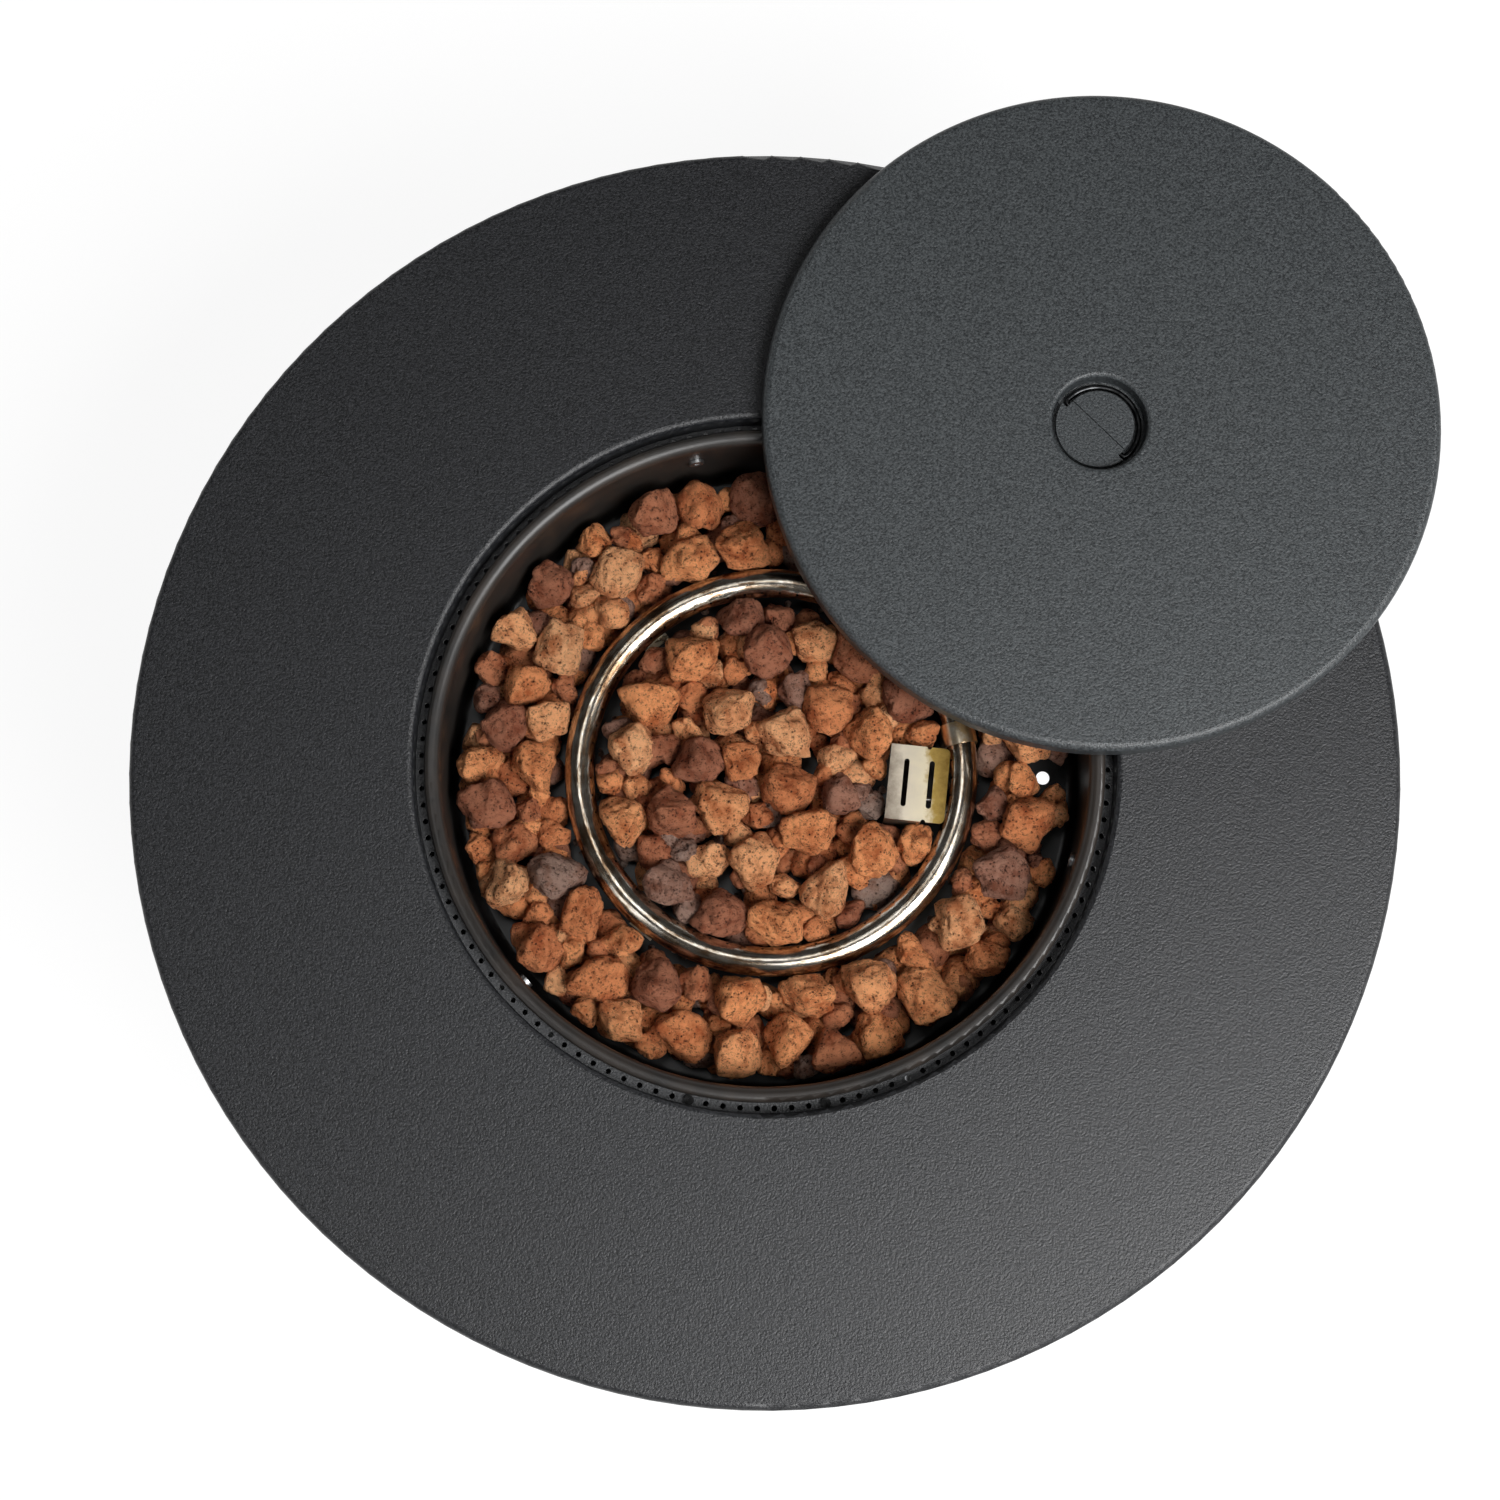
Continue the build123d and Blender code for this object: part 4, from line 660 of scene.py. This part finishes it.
crumb_place = add(crumb_tree, "GeometryNodeInputPosition").outputs["Position"]
chips = add(
    crumb_tree,
    "ShaderNodeTexNoise",
    {"Vector": crumb_place, "Scale": per_metre(3), "Detail": 1.0},
)
chipping = add(
    crumb_tree,
    "ShaderNodeVectorMath",
    {0: chips.outputs["Color"], 1: (noise_middle, noise_middle, noise_middle)},
    operation="SUBTRACT",
)
chipped = add(
    crumb_tree,
    "ShaderNodeVectorMath",
    {0: chipping.outputs["Vector"], "Scale": crumb["Roughness"]},
    operation="SCALE",
)
crumbled = add(
    crumb_tree,
    "GeometryNodeSetPosition",
    {"Geometry": loose.outputs["Geometry"], "Offset": chipped.outputs["Vector"]},
)
close_tree(crumb_tree, crumbled.outputs["Geometry"], crumb["Material"])

crumb_lift = 0.0012
crumb_height = bowl_floor + crumb_lift
crumb_edges = (0.085, 0.185)
floor_steps = 48
floor_ring = [
    (edge * math.cos(k * math.tau / floor_steps), edge * math.sin(k * math.tau / floor_steps), crumb_height)
    for edge in crumb_edges
    for k in range(floor_steps)
]
floor_faces = [
    (k, floor_steps + k, floor_steps + (k + 1) % floor_steps, (k + 1) % floor_steps)
    for k in range(floor_steps)
]
crumb_bed = bpy.data.meshes.new("crumb_bed")
crumb_bed.from_pydata(floor_ring, [], floor_faces)
crumb_values = {
    "Density": 3500.0,
    "Least Size": 0.0012,
    "Most Size": 0.0034,
    "Roughness": 0.003,
    "Seed": 5,
    "Material": finishes["lava_stone"],
}
grow("lava_crumbs", crumb_tree, crumb_bed, crumb_values, "table")

# Ridges: a weld or a thread is a small ridge along a line, with ripples where a weld pool has set
ridge_tree, ridge = new_tree(
    "Rippled ridge",
    {
        "Width": "NodeSocketFloat",
        "Step": "NodeSocketFloat",
        "Ripple Length": "NodeSocketFloat",
        "Ripple Depth": "NodeSocketFloat",
        "Material": "NodeSocketMaterial",
    },
)
path = add(ridge_tree, "GeometryNodeMeshToCurve", {"Mesh": ridge["Geometry"]})
stepped = add(
    ridge_tree,
    "GeometryNodeResampleCurve",
    {"Curve": path.outputs["Curve"], "Length": ridge["Step"]},
    mode="LENGTH",
)
along = add(ridge_tree, "GeometryNodeSplineParameter").outputs["Length"]
turns = add(ridge_tree, "ShaderNodeMath", {0: along, 1: ridge["Ripple Length"]}, operation="DIVIDE")
phase = add(ridge_tree, "ShaderNodeMath", {0: turns.outputs["Value"], 1: math.tau}, operation="MULTIPLY")
wave = add(ridge_tree, "ShaderNodeMath", {0: phase.outputs["Value"]}, operation="SINE")
swelling = add(
    ridge_tree,
    "ShaderNodeMath",
    {0: wave.outputs["Value"], 1: ridge["Ripple Depth"], 2: 1.0},
    operation="MULTIPLY_ADD",
)
half_width = add(ridge_tree, "ShaderNodeMath", {0: ridge["Width"], 1: 0.5}, operation="MULTIPLY")
profile = add(
    ridge_tree,
    "GeometryNodeCurvePrimitiveCircle",
    {"Resolution": 8, "Radius": half_width.outputs["Value"]},
)
swept = add(
    ridge_tree,
    "GeometryNodeCurveToMesh",
    {
        "Curve": stepped.outputs["Curve"],
        "Profile Curve": profile.outputs["Curve"],
        "Scale": swelling.outputs["Value"],
        "Fill Caps": True,
    },
)
set_smooth = add(ridge_tree, "GeometryNodeSetShadeSmooth", {"Geometry": swept.outputs["Mesh"]})
close_tree(ridge_tree, set_smooth.outputs["Geometry"], ridge["Material"])


def lines_mesh(name, lines):
    """A mesh of the edges along lines, each a list of points and whether it closes."""
    points = []
    edges = []
    for line, closed in lines:
        first = len(points)
        points += line
        edges += [(first + k, first + k + 1) for k in range(len(line) - 1)]
        if closed:
            edges.append((len(points) - 1, first))
    mesh = bpy.data.meshes.new(name + "_lines")
    mesh.from_pydata(points, edges, [])
    return mesh


# Leg welds run round each tube where its slope meets the flat plate, and the drum's seam is at the back
leg_azimuths = (102.5, -137.5, -17.5)
leg_head_reach = 0.256
leg_foot_reach = 0.316
leg_radius = 0.016
weld_height = 0.261
weld_width = 0.005
loop_steps = 64
leg_slope = math.atan((leg_foot_reach - leg_head_reach) / weld_height)
leg_loops = []
for azimuth in leg_azimuths:
    out = Vector((math.cos(math.radians(azimuth)), math.sin(math.radians(azimuth)), 0))
    side = Vector((-out.y, out.x, 0))
    middle = leg_head_reach * out + Vector((0, 0, weld_height))
    loop = []
    for k in range(loop_steps):
        turn = k * math.tau / loop_steps
        wide = leg_radius / math.cos(leg_slope) * math.cos(turn)
        loop.append(middle + wide * out + leg_radius * math.sin(turn) * side)
    leg_loops.append((loop, True))
weld_values = {
    "Width": weld_width,
    "Step": 0.0006,
    "Ripple Length": 0.0024,
    "Ripple Depth": 0.09,
    "Material": finishes["powder_coat"],
}
grow("leg_welds", ridge_tree, lines_mesh("leg_welds", leg_loops), weld_values, "table")
drum_radius = 0.28
drum_ends = (0.2685, 0.4265)
seam = [(0, drum_radius, height) for height in drum_ends]
seam_width = 0.003
seam_lines = lines_mesh("drum_seam", [(seam, False)])
grow("drum_seam", ridge_tree, seam_lines, {**weld_values, "Width": seam_width}, "table")

# The hose thread is left-handed, with the pitch of a 1/4 inch gas thread
thread_axis = (0.038, -0.252)
thread_radius = 0.013157 / 2
thread_ends = (0.2697, 0.2823)
thread_pitch = 0.001337
thread_steps = 48
thread_points = round((thread_ends[1] - thread_ends[0]) / thread_pitch * thread_steps)
thread = []
for k in range(thread_points):
    turn = -k * math.tau / thread_steps
    reach_x = thread_axis[0] + thread_radius * math.cos(turn)
    reach_y = thread_axis[1] + thread_radius * math.sin(turn)
    thread.append((reach_x, reach_y, thread_ends[0] + k * thread_pitch / thread_steps))
thread_width = 0.0008
thread_values = {**weld_values, "Width": thread_width, "Ripple Depth": 0.0, "Material": finishes["brass"]}
thread_lines = lines_mesh("inlet_thread", [(thread, False)])
grow("inlet_thread", ridge_tree, thread_lines, thread_values, "table")


def printed(name, outlines, face, body, ink):
    """A print a fifth of a millimetre high on an upright face that looks to the front."""
    print_height = 0.0002
    shape = bmesh.new()
    for outline in outlines:
        front = [shape.verts.new((x, face - print_height, z)) for x, z in outline]
        back = [shape.verts.new((x, face + print_height, z)) for x, z in outline]
        shape.faces.new(front)
        shape.faces.new(back[::-1])
        for k in range(len(outline)):
            following = (k + 1) % len(outline)
            shape.faces.new((front[following], front[k], back[k], back[following]))
    bmesh.ops.recalc_face_normals(shape, faces=shape.faces)
    mesh = bpy.data.meshes.new(name)
    shape.to_mesh(mesh)
    shape.free()
    mesh.materials.append(ink)
    piece = bpy.data.objects.new(name, mesh)
    scene.collection.objects.link(piece)
    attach(piece, body)


def dial_spot(reach, turn):
    """A point on the dial, turned anticlockwise from the top in degrees."""
    angle = math.radians(turn)
    return dial_middle[0] - reach * math.sin(angle), dial_middle[1] + reach * math.cos(angle)


def stroke(start, end, half):
    """The outline of an upright line with round ends, above the dial's middle."""
    cap_steps = 8
    caps = [k * math.pi / cap_steps for k in range(cap_steps + 1)]
    top = [(half * math.cos(a), end + half * math.sin(a)) for a in caps]
    bottom = [(-half * math.cos(a), start - half * math.sin(a)) for a in caps]
    return [(dial_middle[0] + x, dial_middle[1] + z) for x, z in top + bottom]


# Dial: a line at the off mark and a band that widens as the flame grows, and a line on the knob
white_print = moulded("pad_printed_white_ink", "#d6d6d2", "#e8e8e4", roughness=0.5, texture_mm=2)
black_print = moulded("pad_printed_black_ink", "#0c0c0c", "#161616", roughness=0.5, texture_mm=2)
dial_middle = (0.038, 0.318)
knob_front = -0.32
bezel_front = -0.29
band_reach = 0.026
band_nothing = 65  # the turn at which the band's width would be nothing
band_growth = 0.00002  # half of what each degree past that turn adds to its width
band_turns = range(85, 205, 5)
band_outer = [dial_spot(band_reach + band_growth * (turn - band_nothing), turn) for turn in band_turns]
band_inner = [dial_spot(band_reach - band_growth * (turn - band_nothing), turn) for turn in band_turns]
knob_stroke = stroke(start=0.006, end=0.0175, half=0.0008)
off_stroke = stroke(start=0.0242, end=0.0278, half=0.0007)
printed("knob_line", [knob_stroke], knob_front, "knob", white_print)
printed(
    "dial_marks",
    [off_stroke, band_outer + band_inner[::-1]],
    bezel_front,
    "table",
    black_print,
)

# Floor and backdrop: white paper under soft light, which still takes the table's shadow
half_floor = 40
paper_glow = 1.14
glow_share = 0.8
floor_corners = [(x * half_floor, y * half_floor, 0) for x, y in ((-1, -1), (1, -1), (1, 1), (-1, 1))]
floor_mesh = bpy.data.meshes.new("studio_floor")
floor_mesh.from_pydata(floor_corners, [], [(0, 1, 2, 3)])
floor = bpy.data.objects.new("studio_floor", floor_mesh)
scene.collection.objects.link(floor)
paper = bpy.data.materials.new("matt_white_paper")
paper.use_nodes = True
paper_tree = paper.node_tree
paper_tree.nodes.clear()
matt = add(paper_tree, "ShaderNodeBsdfDiffuse", {"Color": linear("#f4f4f4")})
glow = add(paper_tree, "ShaderNodeEmission", {"Strength": paper_glow})
rays = add(paper_tree, "ShaderNodeLightPath")
seen = add(
    paper_tree,
    "ShaderNodeMath",
    {0: rays.outputs["Is Camera Ray"], 1: rays.outputs["Is Glossy Ray"]},
    operation="MAXIMUM",
)
through = add(
    paper_tree,
    "ShaderNodeMath",
    {0: seen.outputs["Value"], 1: rays.outputs["Is Transmission Ray"]},
    operation="MAXIMUM",
)
share = add(paper_tree, "ShaderNodeMath", {0: through.outputs["Value"], 1: glow_share}, operation="MULTIPLY")
mixed = add(
    paper_tree,
    "ShaderNodeMixShader",
    {0: share.outputs["Value"], 1: matt.outputs["BSDF"], 2: glow.outputs["Emission"]},
)
add(paper_tree, "ShaderNodeOutputMaterial", {"Surface": mixed.outputs["Shader"]})
floor_mesh.materials.append(paper)
backdrop_steps = 64
backdrop_height = 14
backdrop_turns = [k * math.tau / backdrop_steps for k in range(backdrop_steps)]
backdrop_points = [
    (half_floor * math.cos(turn), half_floor * math.sin(turn), z)
    for z in (0, backdrop_height)
    for turn in backdrop_turns
]
backdrop_faces = [
    (k, (k + 1) % backdrop_steps, backdrop_steps + (k + 1) % backdrop_steps, backdrop_steps + k)
    for k in range(backdrop_steps)
]
backdrop_mesh = bpy.data.meshes.new("studio_backdrop")
backdrop_mesh.from_pydata(backdrop_points, [], backdrop_faces)
backdrop_mesh.materials.append(paper)
backdrop = bpy.data.objects.new("studio_backdrop", backdrop_mesh)
scene.collection.objects.link(backdrop)

# Studio light: a large soft box high on the front right, a strip on the left, a small one overhead
world = bpy.data.worlds.new("white_room")
world.use_nodes = True
scene.world = world
room = world.node_tree
room.nodes.clear()
dim = add(room, "ShaderNodeBackground", {"Color": linear("#ffffff"), "Strength": 0.06})
add(room, "ShaderNodeOutputWorld", {"Surface": dim.outputs["Background"]})


def soft_box(name, place, aim, wide, long, power):
    """A soft light that faces a point."""
    lamp = bpy.data.lights.new(name, "AREA")
    lamp.shape = "RECTANGLE"
    lamp.size = wide
    lamp.size_y = long
    lamp.energy = power
    holder = bpy.data.objects.new(name, lamp)
    holder.location = place
    holder.rotation_euler = (Vector(aim) - Vector(place)).to_track_quat("-Z", "Y").to_euler()
    scene.collection.objects.link(holder)


table_middle = (0, 0, 0.45)
soft_box("key_box", (1.25, -1.15, 2.6), table_middle, wide=1.7, long=1.7, power=116)
soft_box("side_strip", (-1.5, -1.1, 2.1), table_middle, wide=0.45, long=1.6, power=4)
soft_box("top_box", (-0.25, 0.3, 3.1), table_middle, wide=0.7, long=0.7, power=4.5)

# Camera: nearly straight down from the front, as the photograph was taken
camera_data = bpy.data.cameras.new("photo_camera")
camera_data.lens = 65.47
camera_data.sensor_width = 36
camera = bpy.data.objects.new("photo_camera", camera_data)
camera.location = (-0.0104, -0.3177, 2.3513)
camera.rotation_euler = (math.radians(9.65), 0, 0)
scene.collection.objects.link(camera)
scene.camera = camera
scene.view_settings.view_transform = "Standard"
